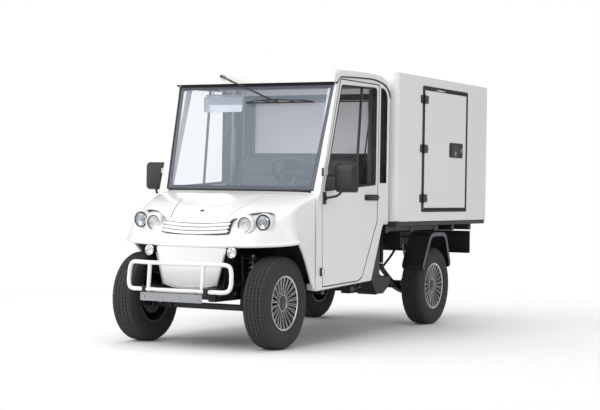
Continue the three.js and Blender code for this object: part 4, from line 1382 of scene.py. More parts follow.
    def _trim(self) -> None:
        """Bonnet drain channel, lock, cowl seam."""
        channel = Shape()
        outline = [(x, y) for x, y in self._grown_lid(2)]
        path = []
        for k, (x, y) in enumerate(outline):
            nx, ny = outline[(k + 1) % len(outline)]
            for j in range(10):
                px, py = mixed(x, nx, j / 10), mixed(y, ny, j / 10)
                path.append(at(px, py, self.height(px, py) - 15))
        channel.tube(path, 0.008, SEAL, 8, closed=True)
        channel.piece("bonnet_seal")
        lock = Shape()
        z = self.height(0, -94)
        lock.tube([at(0, -94, z - 8), at(0, -96, z + 3.5)], 0.012, SEAL, 24)
        lock.tube([at(0, -96, z + 3), at(0, -96.5, z + 5)], 0.007, STEEL, 18)
        lock.piece("bonnet_lock", "bonnet", 0.001)
        seam = Shape()
        line = []
        for k in range(61):
            u = 0.315 + 0.37 * k / 60
            p = nose(u, 0.955)
            line.append(at(p.x, p.y, p.z + 0.4))
        seam.tube(line, 0.0014, GREY_PAINT, 8)
        seam.piece("cowl_seam")

    def _chin(self) -> None:
        """The panel below the lip, with a bright band at its foot and grey strips of painted shade up its
        sides.
        """
        chin = Shape()
        rings = []
        for j in range(25):
            v = j / 24
            row_front, row_back = [], []
            for i in range(41):
                s = 2 * i / 40 - 1
                z = mixed(390 - 28 * (1 - s * s), 627, v)
                half = mixed(186, 254, min(1.0, (z - 362) / 244))
                y = -258 + 28 * abs(s) ** 2.4 + 6 * v - 5 * math.sin(math.pi * v)
                row_front.append(at(half * s, y, z))
                row_back.append(at(half * s, y + 8, z))
            rings.append(row_front + row_back[::-1])
        chin.rings(rings, WHITE)
        chin.piece("nose_skirt_finished", replaces=["nose_skirt"], bevel=0.002, sharp=50)
        band = Shape()
        front = []
        for i in range(33):
            s = (2 * i / 32 - 1) * 0.97
            front.append(at(188 * s, -260 + 28 * abs(s) ** 2.4, 396 - 28 * (1 - s * s)))
        # The tube along the foot is the chin's silver lower band and also paints the shade on its lower edge.
        band.tube(front, 0.010, STEEL, 12)
        # The steel tubes up the sides are painted shade: grey strips that stand in for the chin's shaded side
        # returns.
        for sign in (1, -1):
            side = [at(sign * (mixed(186, 254, min(1.0, (z - 362) / 244)) + 1), -231, z)
                    for z in range(392, 626, 39)]
            band.tube(side, 0.007, STEEL, 12)
        band.piece("chin_band")

    def _lamp(self, shape: Shape, place: Vector, parts: Sequence[tuple[Sequence[Point], Finish]]) -> None:
        """Adds turned lamp parts about an axis that points ahead."""
        for profile, finish in parts:
            shape.lathe(metres(profile), place, (0, -1, 0), finish, 56)

    def _headlamps(self, side: str, sign: int) -> None:
        """Two round lamps in bezels, with reflectors, bulbs and clear lenses."""
        lamps = Shape()
        inner = at(sign * 337, -139, 773)
        outer = at(sign * 453, -114, 790)
        self._lamp(lamps, inner, (
            ([(46, -34), (46, 3), (48, 8), (53, 10.5), (59, 8), (63, 0), (65, -14), (65, -34), (46, -34)],
             WHITE),
            ([(43, -8), (43.5, 4), (45, 6.5), (47.5, 6.5), (48, 0), (43, -8)], BLACK_PLASTIC),
            ([(44, -3), (41, -14), (33, -26), (20, -34), (8, -37), (0, -37.5)], WARM_CHROME),
            ([(0, -14), (7, -16), (10, -22), (10, -37)], CHROME),
        ))
        self._lamp(lamps, outer, (
            ([(41, -34), (41, 2), (43, 6), (46, 7), (48.5, 4), (49.5, -4), (49.5, -34), (41, -34)],
             BLACK_PLASTIC),
            ([(49, -34), (49, -2), (52, 1), (56, -3), (58, -14), (58, -34), (49, -34)], WHITE),
            ([(41.5, -2), (38, -12), (30, -22), (23, -26), (20, -27)], CHROME),
            ([(20, -27), (20, -16), (18, -12), (12, -8), (0, -5.5)], BLUE_GLASS),
            ([(20, -27), (23.5, -25), (24.5, -18), (23.5, -14), (20, -16)], CHROME),
        ))
        lamps.piece(f"headlamp_{side}_finished", replaces=["headlamp_" + side], sharp=30)
        flutes = Shape()
        flute = block("flute", (0.0, -0.0012, 0.020), (0.0016, 0.0012, 0.0405), CHROME)
        ring = Repeat.ring(flute, 20)
        place = Matrix.Translation(inner + Vector((0, 0.010, 0)))
        flutes.add(ring, move=place @ Matrix.Rotation(math.pi / 2, 4, "Z"))
        flutes.piece(f"reflector_flutes_{side}")
        lenses = Shape()
        self._lamp(lenses, inner, (([(44.5, 4), (41, 8), (32, 12), (18, 15), (0, 16.5)], LENS),))
        self._lamp(lenses, outer, (([(42.5, 3), (39, 7), (30, 11), (16, 13.5), (0, 15)], LENS),))
        lenses.piece(f"headlamp_lens_{side}")

    def _fog_lamp(self, side: str, sign: int) -> None:
        """A small round lamp on a bracket under the lip."""
        place = at(sign * 303, -234, 600)
        lamp = Shape()
        self._lamp(lamp, place, (
            ([(0, -34), (14, -34), (26, -22), (31, -6), (31, 2), (27, 4), (26, 0)], BLACK_PLASTIC),
            ([(26, -2), (26.5, 4), (29, 6.5), (32, 5), (33, 0), (32, -4)], CHROME),
            ([(26.5, 0), (22, -10), (12, -16), (0, -18)], CHROME),
            ([(0, -6), (4, -7), (5, -12), (5, -17)], CHROME),
        ))
        lamp.box(at(sign * 303 - 9, -214, 596), at(sign * 303 + 9, -176, 602), BLACK_STEEL)
        lamp.box(at(sign * 243, -184, 594), at(sign * 311, -179, 626), BLACK_STEEL)
        lamp.piece(f"fog_lamp_{side}_finished", replaces=["fog_lamp_" + side], sharp=30)
        lens = Shape()
        self._lamp(lens, place, (([(27, 3), (24, 6), (16, 9), (0, 11)], LENS),))
        lens.piece(f"fog_lens_{side}")


@dataclass(frozen=True)
class Guard:
    """The tubular guard with its uprights, clamps and the plate under it."""

    half: float = 371
    foot_half: float = 375
    bow: float = 60
    radius: float = 13.5

    def _line(self, half: float, y: float, z: float, reach: float) -> list[tuple[float, float, float]]:
        """Points of a bowed bar from its right end to its left one."""
        out = []
        for k in range(-6, 7):
            s = reach * k / 6
            out.append((half * s, y - self.bow * (1 - s * s), z))
        return out

    def _ring(self) -> list[tuple[float, float, float]]:
        """The closed line of the tube."""
        top = self._line(self.half, -345, 530, 0.885)
        foot = self._line(self.foot_half, -360, 364, 0.885)[::-1]
        turns = [(0.965, 0.925), (0.995, 0.72), (1.0, 0.5), (0.998, 0.28), (0.965, 0.075)]
        left = [(mixed(self.foot_half, self.half, t) * s, mixed(-360, -345, t) - self.bow * (1 - s * s) * 0.9,
                 mixed(364, 530, t)) for s, t in turns]
        right = [(-x, y, z) for x, y, z in reversed(left)]
        return top + left + foot + right

    def build(self) -> None:
        """Makes the tube, uprights, clamps and plate."""
        guard = Shape()
        guard.tube(curve_through([at(*p) for p in self._ring()], 6, closed=True), self.radius * MM, WHITE, 24,
                   closed=True)
        for sign in (1, -1):
            x = sign * 195
            y_top = -345 - self.bow * (1 - (195 / self.half) ** 2)
            y_low = -360 - self.bow * (1 - (195 / self.foot_half) ** 2)
            guard.tube([at(x, y_top, 530), at(x, y_low, 364)], 0.0125, WHITE, 20)
        guard.piece("bull_bar_finished", replaces=["bull_bar"], sharp=50)
        mounts = Shape()
        for sign in (1, -1):
            mounts.box(at(sign * 212, -412, 357), at(sign * 236, -335, 371), BLACK_STEEL)
            mounts.box(at(sign * 150, -445, 338), at(sign * 174, -400, 350), BLACK_STEEL)
            mounts.box(at(sign * 150, -445, 305), at(sign * 174, -440, 350), BLACK_STEEL)
            x = sign * 224
            mounts.tube([at(x, -404, 342), at(x, -404, 386)], 0.0175, BLACK_STEEL, 20)
        mounts.piece("guard_mounts", bevel=0.0015)
        plate = Shape()
        outline = rectangle(-224, 297, 224, 349, 12)
        plate.slab(outline, -450, -445, GREY_PAINT, "xz")
        plate.piece("bumper_plate_finished", bevel=0.0012, replaces=["bumper_plate"])
        bolt_row("plate_bolts", 4, (-195, -450, 323), (130, 0, 0), "-y", 6)


# ---- Cab -----------------------------------------------------------------------------


@dataclass(frozen=True)
class Screen:
    """The windscreen plane, measured from its lower edge up."""

    low_half: float = 560
    high_half: float = 597
    low: tuple[float, float] = (350, 987)
    high: tuple[float, float] = (557, 1692)

    @property
    def tall(self) -> float:
        """Length up the pane."""
        return math.hypot(self.high[0] - self.low[0], self.high[1] - self.low[1])

    def point(self, x: float, up: float, out: float = 0.0) -> Vector:
        """Returns the place at x, so far up the pane and so far out of it, in millimetres."""
        share = up / self.tall
        dy, dz = (self.high[0] - self.low[0]) / self.tall, (self.high[1] - self.low[1]) / self.tall
        y = mixed(self.low[0], self.high[0], share) - dz * out
        z = mixed(self.low[1], self.high[1], share) + dy * out
        return at(x, y, z)

    def loop(self, inset: float, radius: float, out: float) -> list[Vector]:
        """Returns the pane's edge, inset and with rounded corners."""
        a, b, t = self.low_half - inset, self.high_half - inset, self.tall
        flat = rounded([(-a, inset), (a, inset), (b, t - inset), (-b, t - inset)], radius, 8)
        return [self.point(x, up, out) for x, up in flat]


DOOR_EDGE = ((389, 377), (900, 392), (945, 402), (972, 425), (1191, 792), (1191, 1710), (1180, 1722),
             (608, 1722), (600, 1714), (371, 984), (366, 960))
DOOR_PANE = ((398, 992), (1152, 1040), (1152, 1697), (632, 1684), (618, 1672))
QUARTER_PANE = ((1220, 1050), (1330, 1050), (1330, 1640), (1321, 1668), (1296, 1692), (1262, 1704),
                (1220, 1706))


def shrunk(outline: Sequence[tuple[float, float]], share: float) -> list[tuple[float, float]]:
    """Returns an outline drawn in towards its middle."""
    middle = [sum(p[k] for p in outline) / len(outline) for k in (0, 1)]
    return [(mixed(middle[0], y, share), mixed(middle[1], z, share)) for y, z in outline]


@dataclass
class Cab:
    """Cab frame, roof, panes, doors, mirrors, wiper and seals."""

    screen: Screen = field(default_factory=Screen)

    def build(self) -> None:
        """Makes the cab's outside."""
        dressed("cab_frame", WHITE, 4, segments=3)
        dressed("cab_rear_wall", WHITE, 3)
        dressed("cab_floor", BLACK_STEEL, 1)
        dressed("bulkhead", BLACK_STEEL, 1)
        self._roof()
        self._windscreen()
        self._rear_window()
        self._wiper()
        self._seals()
        for side, sign in SIDES.items():
            self._quarter(side, sign)
            self._door(side, sign)
            self._mirror(side, sign)

    def _roof(self) -> None:
        """The moulded roof, rounded at every corner, over the side openings' curved edge."""
        top = curve_through([(0, y, z) for y, z in (
            (508, 1701), (508.5, 1730), (512, 1762), (524, 1788), (552, 1804), (620, 1812), (800, 1818),
            (1000, 1820),
            (1170, 1818), (1250, 1810), (1305, 1790), (1340, 1760), (1358, 1724), (1366, 1678))], 5)
        low = ((508, 1700), (552, 1703), (597, 1738), (1048, 1757), (1181, 1748), (1297, 1730), (1349, 1693),
               (1366, 1676))
        rings = []
        for k, p in enumerate(top):
            foot = float(np.interp(p.y, [y for y, _ in low], [z for _, z in low]))
            tall = max(p.z - foot, 0.5)
            share = k / (len(top) - 1)
            half = 617 - 26 * max(0.0, 1 - share / 0.22) ** 2.2 - 12 * max(0.0, (share - 0.86) / 0.14) ** 2
            ring = []
            for j in range(73):
                turn = math.pi * j / 72
                c, t = math.cos(turn), math.sin(turn)
                x = half * math.copysign(abs(c) ** (1 / 3), c)
                ring.append(at(x, p.y, foot + tall * abs(t) ** (1 / 3)))
            rings.append(ring)
        roof = Shape()
        roof.rings(rings, WHITE)
        roof.piece("roof_finished", replaces=["roof"], sharp=42)

    def _windscreen(self) -> None:
        """The bonded pane with its slate border and rubber edge."""
        dressed("windscreen", SCREEN_GLASS, 0)
        border = Shape()
        outer, inner = self.screen.loop(1, 8, 0.7), self.screen.loop(30, 14, 0.7)
        border.rings([outer, inner], BORDER_AND_PAINTED_LIP_HIGHLIGHT, caps=False)
        sheet = thickened(border.data("border", outwards=False), "windscreen_border", 0.0008, 0)
        show(sheet, "windscreen_border")
        rubber = Shape()
        rubber.tube(self.screen.loop(0, 8, 0), 0.005, SEAL, 10, closed=True)
        rubber.piece("windscreen_rubber")
        strip = Shape()
        strip.slab([(546, 1689), (566, 1689), (566, 1702), (550, 1702)], -585, 585, SEAL, "yz")
        strip.piece("roof_front_seal", bevel=0.002)

    def _rear_window(self) -> None:
        """The fixed pane in the rear wall with its rubber, the pane a light grey veil of painted light."""
        # The rear pane is a near-opaque light grey veil: painted light standing in for fill light on the
        # shaded box wall behind it.
        dressed("rear_window", REAR_PANE_PAINTED_FILL_LIGHT, 0)
        loop = rectangle(-462, 1252, 462, 1625, 16)
        rubber = Shape()
        rubber.tube([at(x, 1346, z) for x, z in loop], 0.005, SEAL, 10, closed=True)
        rubber.piece("rear_window_rubber")

    def _quarter(self, side: str, sign: int) -> None:
        """The small side pane behind the door, with its rubber."""
        dressed("quarter_window_" + side, GLASS, 0)
        loop = rounded(QUARTER_PANE, 14, 4)
        rubber = Shape()
        rubber.tube(beside(sign * 606, loop), 0.006, SEAL, 10, closed=True)
        rubber.rings([beside(sign * x, shrunk(loop, 0.985)) for x in (547, 604)], SEAL, caps=False)
        rubber.piece(f"quarter_rubber_{side}")

    def _seals(self) -> None:
        """The dark joint under the roof and the black panel down the cab's rear slant."""
        seals = Shape()
        for sign in (1, -1):
            line = curve_through([at(sign * 614, y, z) for y, z in (
                (546, 1693), (562, 1712), (590, 1733), (640, 1740), (820, 1748), (1048, 1755), (1130, 1752),
                (1200, 1744), (1262, 1732), (1312, 1712), (1347, 1684), (1366, 1646))], 5)
            seals.tube(line, 0.0055, SEAL, 10)
            frame_edge = rounded([(388, 374), (902, 389), (974, 422), (1194, 790), (1194, 1725), (606, 1725),
                                  (368, 986), (363, 958)], 14, 4)
            loop = beside(sign * 608, frame_edge)
            seals.tube(loop, 0.005, SEAL, 8, closed=True)
        seals.piece("cab_seals")
        sill = Shape()
        for sign in (1, -1):
            sill.slab([(304, 346), (1108, 379), (1108, 386), (304, 354)], sign * 560, sign * 611, BLACK_STEEL,
                      "yz")
        sill.piece("sill_edge", bevel=0.0015)

    def _wiper(self) -> None:
        """Arm, hinge cap and bowed blade with its washer hose."""
        wiper = Shape()
        pivot = at(-226, 494, 1749)
        wiper.tube([at(-226, 507, 1749), at(-226, 484, 1749)], 0.014, STEEL, 28)
        wiper.tube([at(-226, 486, 1749), at(-226, 476, 1749)], 0.009, BLACK_PLASTIC, 6)
        arm = curve_through([pivot + Vector((0, -0.002, 0)), at(-150, 484, 1716), at(-20, 482, 1662),
                             at(110, 480, 1608), at(188, 484, 1577)], 6)
        wiper.tube(arm, 0, BLACK_PLASTIC, section=oval(0.0075, 0.0045, 10))
        wiper.tube([p + Vector((0, -0.010, 0.006)) for p in arm[3:-2]], 0.0022, SEAL, 8)
        for x in (-150, 60):
            wiper.tube([at(x - 8, 476, 1720 - (x + 150) * 0.4), at(x + 8, 476, 1713 - (x + 150) * 0.4)],
                       0.006, SEAL, 8)
        blade = [at(-39 + 513 * k / 16, 494.8, 1570) for k in range(17)]
        wiper.tube(blade, 0, SEAL, section=[(-0.003, -0.006), (0.003, -0.006), (0.0022, 0.004),
                                            (-0.0022, 0.004)])
        bows = (((-20, 1574), (60, 1583), (188, 1588), (320, 1583), (455, 1574)),
                ((-36, 1572), (0, 1577), (60, 1583), (120, 1577), (150, 1572)),
                ((285, 1572), (320, 1577), (380, 1583), (430, 1577), (470, 1572)))
        for bow in bows:
            wiper.tube(curve_through([at(x, 490, z) for x, z in bow], 6), 0.0034, BLACK_PLASTIC, 8)
        wiper.box(at(176, 480, 1572), at(202, 496, 1594), BLACK_PLASTIC)
        wiper.piece("wiper_finished", replaces=["wiper"], sharp=40)

    def _door(self, side: str, sign: int) -> None:
        """Leaf, pane, rubber, divider, hinges, handles and the trim inside."""
        body = "door_" + side
        leaf = Shape()
        leaf.slab(DOOR_EDGE, sign * 581, sign * 612, WHITE, "yz")
        hole = prism(rounded(DOOR_PANE, 22, 6), sign * 560, sign * 640, "yz")
        mesh = carved(leaf.data("leaf"), [hole], f"door_{side}_finished")
        mesh.set_sharp_from_angle(angle=math.radians(35))
        show(mesh, f"door_{side}_finished", body, 0.0045, 0, ["door_" + side], 3)
        dressed("door_glass_" + side, GLASS, 0)
        rubber = Shape()
        for x in (609, 584):
            loop = beside(sign * x, rounded(DOOR_PANE, 26, 6))
            rubber.tube(loop, 0.0065, SEAL, 10, closed=True)
        rubber.slab([(872, 1030), (885, 1030), (955, 1690), (942, 1690)], sign * 590, sign * 604,
                    BLACK_PLASTIC, "yz")
        rubber.slab([(400, 990), (1150, 1036), (1150, 1048), (400, 1003)], sign * 590, sign * 616, SEAL, "yz")
        lining = [beside(sign * x, rounded(shrunk(DOOR_PANE, 0.996), 23, 6)) for x in (583, 610)]
        rubber.rings(lining, SEAL, caps=False)
        rubber.piece(f"door_rubber_{side}", body)
        jamb = Shape()
        jamb.box(at(sign * 547, 1163, 810), at(sign * 580, 1165.5, 1690), DARK_TRIM)
        jamb.piece(f"door_jamb_trim_{side}")
        trim = Shape()
        edge = [(415, 402), (890, 415), (925, 425), (952, 446), (1150, 786), (1150, 1020), (400, 975)]
        trim.slab(rounded(edge, 30, 5), sign * 573, sign * 581, DARK_TRIM, "yz")
        trim.slab(rounded([(520, 800), (900, 815), (900, 862), (520, 850)], 18, 5), sign * 546, sign * 575,
                  DARK_TRIM, "yz")
        trim.slab(rounded([(450, 470), (840, 480), (870, 640), (450, 620)], 24, 5), sign * 556, sign * 574,
                  DARK_TRIM, "yz")
        trim.piece(f"door_trim_{side}", body, 0.004, segments=3)
        fittings = Shape()
        for z, end in ((472, 422), (1112, 432)):
            fittings.tube([at(sign * 620, 352, z - 27), at(sign * 620, 352, z + 27)], 0.0065, BLACK_STEEL, 16)
            fittings.box(at(sign * 612, 358, z - 17), at(sign * 617, end, z + 17),
                         WHITE)
        grip = curve_through([at(sign * x, y, 950) for x, y in (
            (612, 1004), (634, 1014), (640, 1050), (640, 1120), (634, 1160), (612, 1170))], 6)
        fittings.tube(grip, 0, BLACK_PLASTIC, section=oval(0.006, 0.0115, 14),
                      up=(0, 0, 1))
        fittings.slab(rectangle(988, 930, 1205, 970, 14, 5),
                      sign * 611, sign * 615, BLACK_PLASTIC, "yz")
        fittings.tube([at(sign * 612, 1190, 950), at(sign * 618, 1190, 950)], 0.010, STEEL, 20)
        fittings.box(at(sign * 566, 980, 900), at(sign * 574, 1060, 918), STEEL)
        fittings.piece(f"door_fittings_{side}", body, 0.0012, sharp=40)
        for name, y, z in (("low", 402, 463), ("high", 410, 1103)):
            bolt_row(f"hinge_bolts_{name}_{side}", 2, (sign * 617, y, z), (0, 0, 18), outward(sign), 4, body)

    def _mirror(self, side: str, sign: int) -> None:
        """Rounded housing with its pane, arm and foot."""
        body = "door_" + side
        mirror = Shape()
        rings = []
        for y, grow, r in ((500, 0, 20), (496, 3, 22), (478, 3, 24), (456, -2, 28), (444, -14, 30),
                           (440, -34, 30)):
            flat = rectangle(654 - grow, 986 - grow, 802 + grow, 1168 + grow, r, 7)
            rings.append([at(sign * x, y, z) for x, z in flat])
        mirror.rings(rings, BLACK_PLASTIC)
        arm = curve_through([at(sign * 618, 392, 945), at(sign * 640, 398, 948), at(sign * 690, 424, 962),
                             at(sign * 716, 452, 1000), at(sign * 722, 466, 1040)], 7)
        mirror.tube(arm, 0.008, BLACK_STEEL, 14)
        mirror.box(at(sign * 612.5, 376, 905), at(sign * 621, 408, 985), BLACK_STEEL)
        mirror.tube([at(sign * 621, 392, 945), at(sign * 630, 392, 945)], 0.014, BLACK_STEEL, 20)
        mirror.piece(f"mirror_{side}_finished", body, replaces=["mirror_" + side],
                     sharp=50)
        pane = Shape()
        flat = rectangle(662, 994, 794, 1160, 16, 6)
        pane.slab([(sign * x, z) for x, z in flat], 499, 501.5, MIRROR, "xz")
        pane.piece(f"mirror_pane_{side}", body)


# ---- Interior ------------------------------------------------------------------------


@dataclass(frozen=True)
class Pad:
    """A stuffed seat part, swollen by a cloth simulation from a smaller block.

    Args:
        part: seat_cushion or seat_back.
        outline: its side view in y and z, in millimetres.
        channels: the sewn channels, each as (y, z) of a point on it and its normal's (y, z).
        cap: how far a point may move, in millimetres.
        voxel: size of the even mesh that swells, in metres.
    """

    part: str
    outline: tuple[tuple[float, float], ...]
    channels: tuple[tuple[float, float, float, float], ...]
    cap: float = 15
    voxel: float = 0.006

    def _block(self) -> bpy.types.Object:
        """The block that swells, evenly remeshed."""
        block = Shape()
        middle = Vector((sum(p[0] for p in self.outline),
                         sum(p[1] for p in self.outline))) / len(self.outline)
        small = []
        for y, z in self.outline:
            out = Vector((y, z)) - middle
            small.append(tuple(middle + out * max(0.0, 1 - 11 / max(out.length, 1))))
        block.slab(small, 93, 479, VINYL, "yz")
        thing = loose(block.data("pad_block"), self.part + "_block")
        bevel = thing.modifiers.new("round", "BEVEL")
        bevel.width = 0.018
        bevel.segments = 3
        bevel.limit_method = "ANGLE"
        remesh = thing.modifiers.new("even", "REMESH")
        remesh.mode = "VOXEL"
        remesh.voxel_size = self.voxel
        remesh.use_smooth_shade = True
        return loose(baked(thing, self.part + "_start"), self.part + "_start")

    def _swell(self, thing: bpy.types.Object) -> bpy.types.Mesh:
        """Runs the cloth with pressure and caps the movement."""
        rest = np.empty(len(thing.data.vertices) * 3)
        thing.data.vertices.foreach_get("co", rest)
        rest = rest.reshape(-1, 3)
        cloth = thing.modifiers.new("pressure", "CLOTH")
        cloth.settings.use_pressure = True
        cloth.settings.uniform_pressure_force = 4
        cloth.settings.effector_weights.gravity = 0
        scene = bpy.context.scene
        for number in range(1, 21):
            scene.frame_set(number)
        mesh = baked(thing, self.part + "_swollen")
        bpy.context.scene.frame_set(1)
        now = np.empty(len(mesh.vertices) * 3)
        mesh.vertices.foreach_get("co", now)
        move = now.reshape(-1, 3) - rest
        far = np.linalg.norm(move, axis=1, keepdims=True)
        move *= np.minimum(1.0, self.cap * MM / np.maximum(far, 1e-9))
        rest += move
        mesh.vertices.foreach_set("co", self._sewn(rest).ravel())
        mesh.update()
        return mesh

    def _sewn(self, places: np.ndarray) -> np.ndarray:
        """Draws the sewn channels into the pad's face."""
        normal_y, normal_z = self._face()
        middle_y = sum(p[0] for p in self.outline) / len(self.outline) * MM + AXLE_Y
        middle_z = sum(p[1] for p in self.outline) / len(self.outline) * MM
        for y, z, dy, dz in self.channels:
            along = (places[:, 1] - (y * MM + AXLE_Y)) * dy + (places[:, 2] - z * MM) * dz
            upper = (places[:, 1] - middle_y) * normal_y + (places[:, 2] - middle_z) * normal_z
            dent = 0.006 * np.exp(-(along / 0.006) ** 2) * (upper > 0)
            places[:, 1] -= dent * normal_y
            places[:, 2] -= dent * normal_z
        return places

    def _face(self) -> tuple[float, float]:
        """Direction out of the side that is sat or leaned on."""
        return (0.0, 1.0) if self.part == "seat_cushion" else (-1.0, 0.0)

    def build(self) -> None:
        """Makes the pad for both seats, with its piping."""
        mesh = self._swell(self._block())
        if not mesh.materials:
            mesh.materials.append(VINYL.material())
        tree = BVHTree.FromPolygons([v.co for v in mesh.vertices], [p.vertices for p in mesh.polygons])
        piping = Shape()
        for x in (106, 466):
            line = []
            for point in curve_through([(0, y, z) for y, z in rounded(self.outline, 26, 3)], 2, closed=True):
                near = at(x + (40 if x > 286 else -40), point.y, point.z)
                line.append(tree.find_nearest(near)[0])
            piping.tube(line, 0.0032, SEAL, 8, closed=True)
        piping_mesh = piping.data(self.part + "_piping")
        for side, sign in SIDES.items():
            node = f"{self.part}_{side}"
            turn = Matrix.Scale(sign, 4, (1, 0, 0))
            shape = Shape()
            shape.add(mesh, VINYL, turn)
            for face in shape.mesh.faces:
                face.smooth = True
            made = shape.data(node + "_padded", outwards=False, sharp=180)
            pad = show(made, node + "_padded", subdivide=1, replaces=[node])
            edge = Shape()
            edge.add(piping_mesh, SEAL, turn)
            edge.piece(f"{node}_piping")


@dataclass(frozen=True)
class Interior:
    """Dashboard, steering wheel, seats, pedals, sun visors and belts."""

    VENTS = (-440, -150, 110, 440)

    def build(self) -> None:
        """Makes what shows through the panes."""
        dressed("dashboard", DARK_TRIM, 6, segments=3)
        dressed("seat_box", DARK_TRIM, 2)
        self._instruments()
        self._steering_wheel()
        self._controls()
        self._soft_trim()
        Pad("seat_cushion", ((752, 706), (1148, 706), (1148, 778), (1050, 790), (795, 806), (752, 788)),
            ((860, 790, 1, 0), (960, 790, 1, 0), (1060, 790, 1, 0))).build()
        Pad("seat_back", ((1154, 712), (1222, 712), (1266, 1245), (1240, 1277), (1200, 1269), (1163, 1215)),
            ((1160, 830, 0, 1), (1160, 960, 0, 1), (1160, 1090, 0, 1))).build()

    def _instruments(self) -> None:
        """Screen, vents, switches and a glove box on the dashboard."""
        panel = Shape()
        panel.slab(rectangle(176, 934, 376, 1004, 10, 4), 474, 482, BLACK_PLASTIC, "xz")
        panel.slab(rectangle(190, 944, 362, 994, 6, 4), 481, 483, BLUE_GLASS, "xz")
        panel.slab(rectangle(-470, 830, -120, 905, 14, 4), 466, 478, DARK_TRIM, "xz")
        panel.slab(rectangle(-70, 830, 70, 920, 8, 4), 470, 481, BLACK_PLASTIC, "xz")
        for x in (-45, -15, 15, 45):
            panel.slab(rectangle(x - 11, 842, x + 11, 866, 3, 3), 480, 485,
                       DARK_TRIM, "xz")
        for x in self.VENTS:
            panel.tube([at(x, 455, 948), at(x, 474, 944)], 0.036, BLACK_PLASTIC, 32)
        panel.tube([at(-295, 476, 870), at(-295, 484, 870)], 0.012, STEEL, 20)
        panel.piece("instrument_panel", bevel=0.0012)
        for n, x in enumerate(self.VENTS):
            vane = block("vane", (-0.030, 0, 0), (0.030, 0.006, 0.003), DARK_TRIM)
            row = Repeat.row(vane, 5, at(x, 473, 922), (0, 0, 0.0105))
            show(row, f"vent_vanes_{n}")

    def _steering_wheel(self) -> None:
        """Rim, three spokes and a padded boss."""
        place = Matrix.Translation(at(286, 630, 1100)) @ Matrix.Rotation(-math.atan2(180, 250), 4, "X")
        wheel = Shape()
        section = [(172 + 12 * math.cos(t),
                    12 * math.sin(t)) for t in (2 * math.pi * k / 18 for k in range(19))]
        wheel.lathe(metres(section), (0, 0, 0), (0, 0, 1), DARK_TRIM, 96, (1, 0, 0))
        for k in range(3):
            turn = math.radians(60 + 120 * k)
            side = Vector((math.cos(turn), math.sin(turn), 0))
            ahead = Vector((-math.sin(turn), math.cos(turn), 0))
            line = [ahead * r * MM + Vector((0, 0, z * MM)) for r,
                    z in ((22, -8), (60, -7), (110, -3), (166, 0))]
            wheel.tube(line, 0, BLACK_PLASTIC, section=oval(0.015, 0.005, 14),
                       up=(0, 0, 1))
            wheel.tube([ahead * 0.060 + side * 0.004, ahead * 0.150 + side * 0.004], 0.002, STEEL, 6)
        boss = [(0, -26), (30, -26), (36, -20), (44, -6), (46, 4), (40, 11), (24, 15), (0, 16)]
        wheel.lathe(metres(boss), (0, 0, 0), (0, 0, 1), DARK_TRIM, 48, (1, 0, 0))
        mesh = wheel.data("steering_wheel_flat")
        moved = Shape()
        moved.add(mesh, move=place)
        made = moved.data("steering_wheel_finished", outwards=False, sharp=50)
        show(made, "steering_wheel_finished", "steering_wheel", replaces=["steering_wheel"])

    def _controls(self) -> None:
        """Pedals, gear knob, hand brake and column stalks."""
        parts = Shape()
        for x, wide in ((330, 30), (230, 45)):
            parts.tube([at(x, 345, 640), at(x, 420, 500)], 0.007, STEEL, 12)
            parts.slab(rectangle(x - wide, 455, x + wide, 515, 8, 4), 418, 426,
                       SEAL, "xz")
        parts.tube([at(0, 500, 398), at(0, 560, 700)], 0.009, STEEL, 14)
        parts.lathe([(0, 0), (0.016, 0.002), (0.021, 0.016), (0.016, 0.034), (0, 0.040)], at(0, 560, 696),
                    (0, 0, 1),
                    DARK_TRIM, 28, (1, 0, 0))
        parts.lathe([(0.075, 0), (0.060, 0.02), (0.025, 0.09), (0.010, 0.13)], at(0, 500, 398), (0, 0.2, 1),
                    VINYL, 28,
                    (1, 0, 0))
        for x0, x1 in ((230, 130), (290, 400)):
            parts.tube([at(x0 + 26, 588, 1036), at(x1 + 26, 602, 1060)], 0.006, BLACK_PLASTIC, 12)
        parts.tube([at(-6, 800, 716), at(-6, 720, 760)], 0.011, DARK_TRIM, 14)
        parts.piece("driver_controls", sharp=50)

    def _soft_trim(self) -> None:
        """Floor mat, linings, sun visors and belts."""
        trim = Shape()
        trim.slab(rectangle(-520, 345, 520, 735, 20, 4), 398.5, 403, SEAL, "xy")
        trim.slab([(600, 1716), (1290, 1712), (1290, 1720), (600, 1724)], -535, 535, HEADLINER, "yz")
        for x0, x1, z0, z1 in ((-542, 542, 760, 1245), (-542, -469, 1245, 1690), (469, 542, 1245, 1690),
                               (-469, 469, 1632, 1690)):
            trim.box(at(x0, 1338, z0), at(x1, 1342, z1), HEADLINER)
        trim.piece("mat_and_lining", bevel=0.002)
        visor = Shape()
        flat = rounded([(-446, 1517), (-144, 1517), (-138, 1624), (-446, 1624)], 16, 5)
        visor.slab(flat, 618, 630, VISOR, "xz")
        visor.tube([at(-430, 624, 1632), at(-160, 624, 1632)], 0.0055, STEEL, 10)
        for x in (-372, -300):
            visor.tube([at(x, 624, 1620), at(x, 616, 1700)], 0.006, STEEL, 10)
        visor.piece("sun_visor_right", bevel=0.004, segments=3)
        folded = Shape()
        flat = rectangle(146, 620, 446, 726, 16, 5)
        folded.slab(flat, 1702, 1713, VISOR, "xy")
        folded.piece("sun_visor_left", bevel=0.004, segments=3)
        for side, sign in SIDES.items():
            belt = Shape()
            line = curve_through([at(sign * x, y, z) for x, y, z in (
                (536, 1215, 1560), (520, 1210, 1400), (505, 1195, 1232), (500, 1140, 1000),
                (505, 1120, 800), (512, 1130, 705))], 6)
            belt.tube(line, 0, SEAL, section=[(-0.0225, -0.001), (0.0225, -0.001), (0.0225, 0.001),
                                              (-0.0225, 0.001)],
                      up=(sign * 1.0, 0.3, 0))
            belt.box(at(sign * 530, 1190, 1540), at(sign * 543, 1240, 1590), BLACK_PLASTIC)
            belt.piece(f"seat_belt_{side}")


# ---- Cargo box -----------------------------------------------------------------------


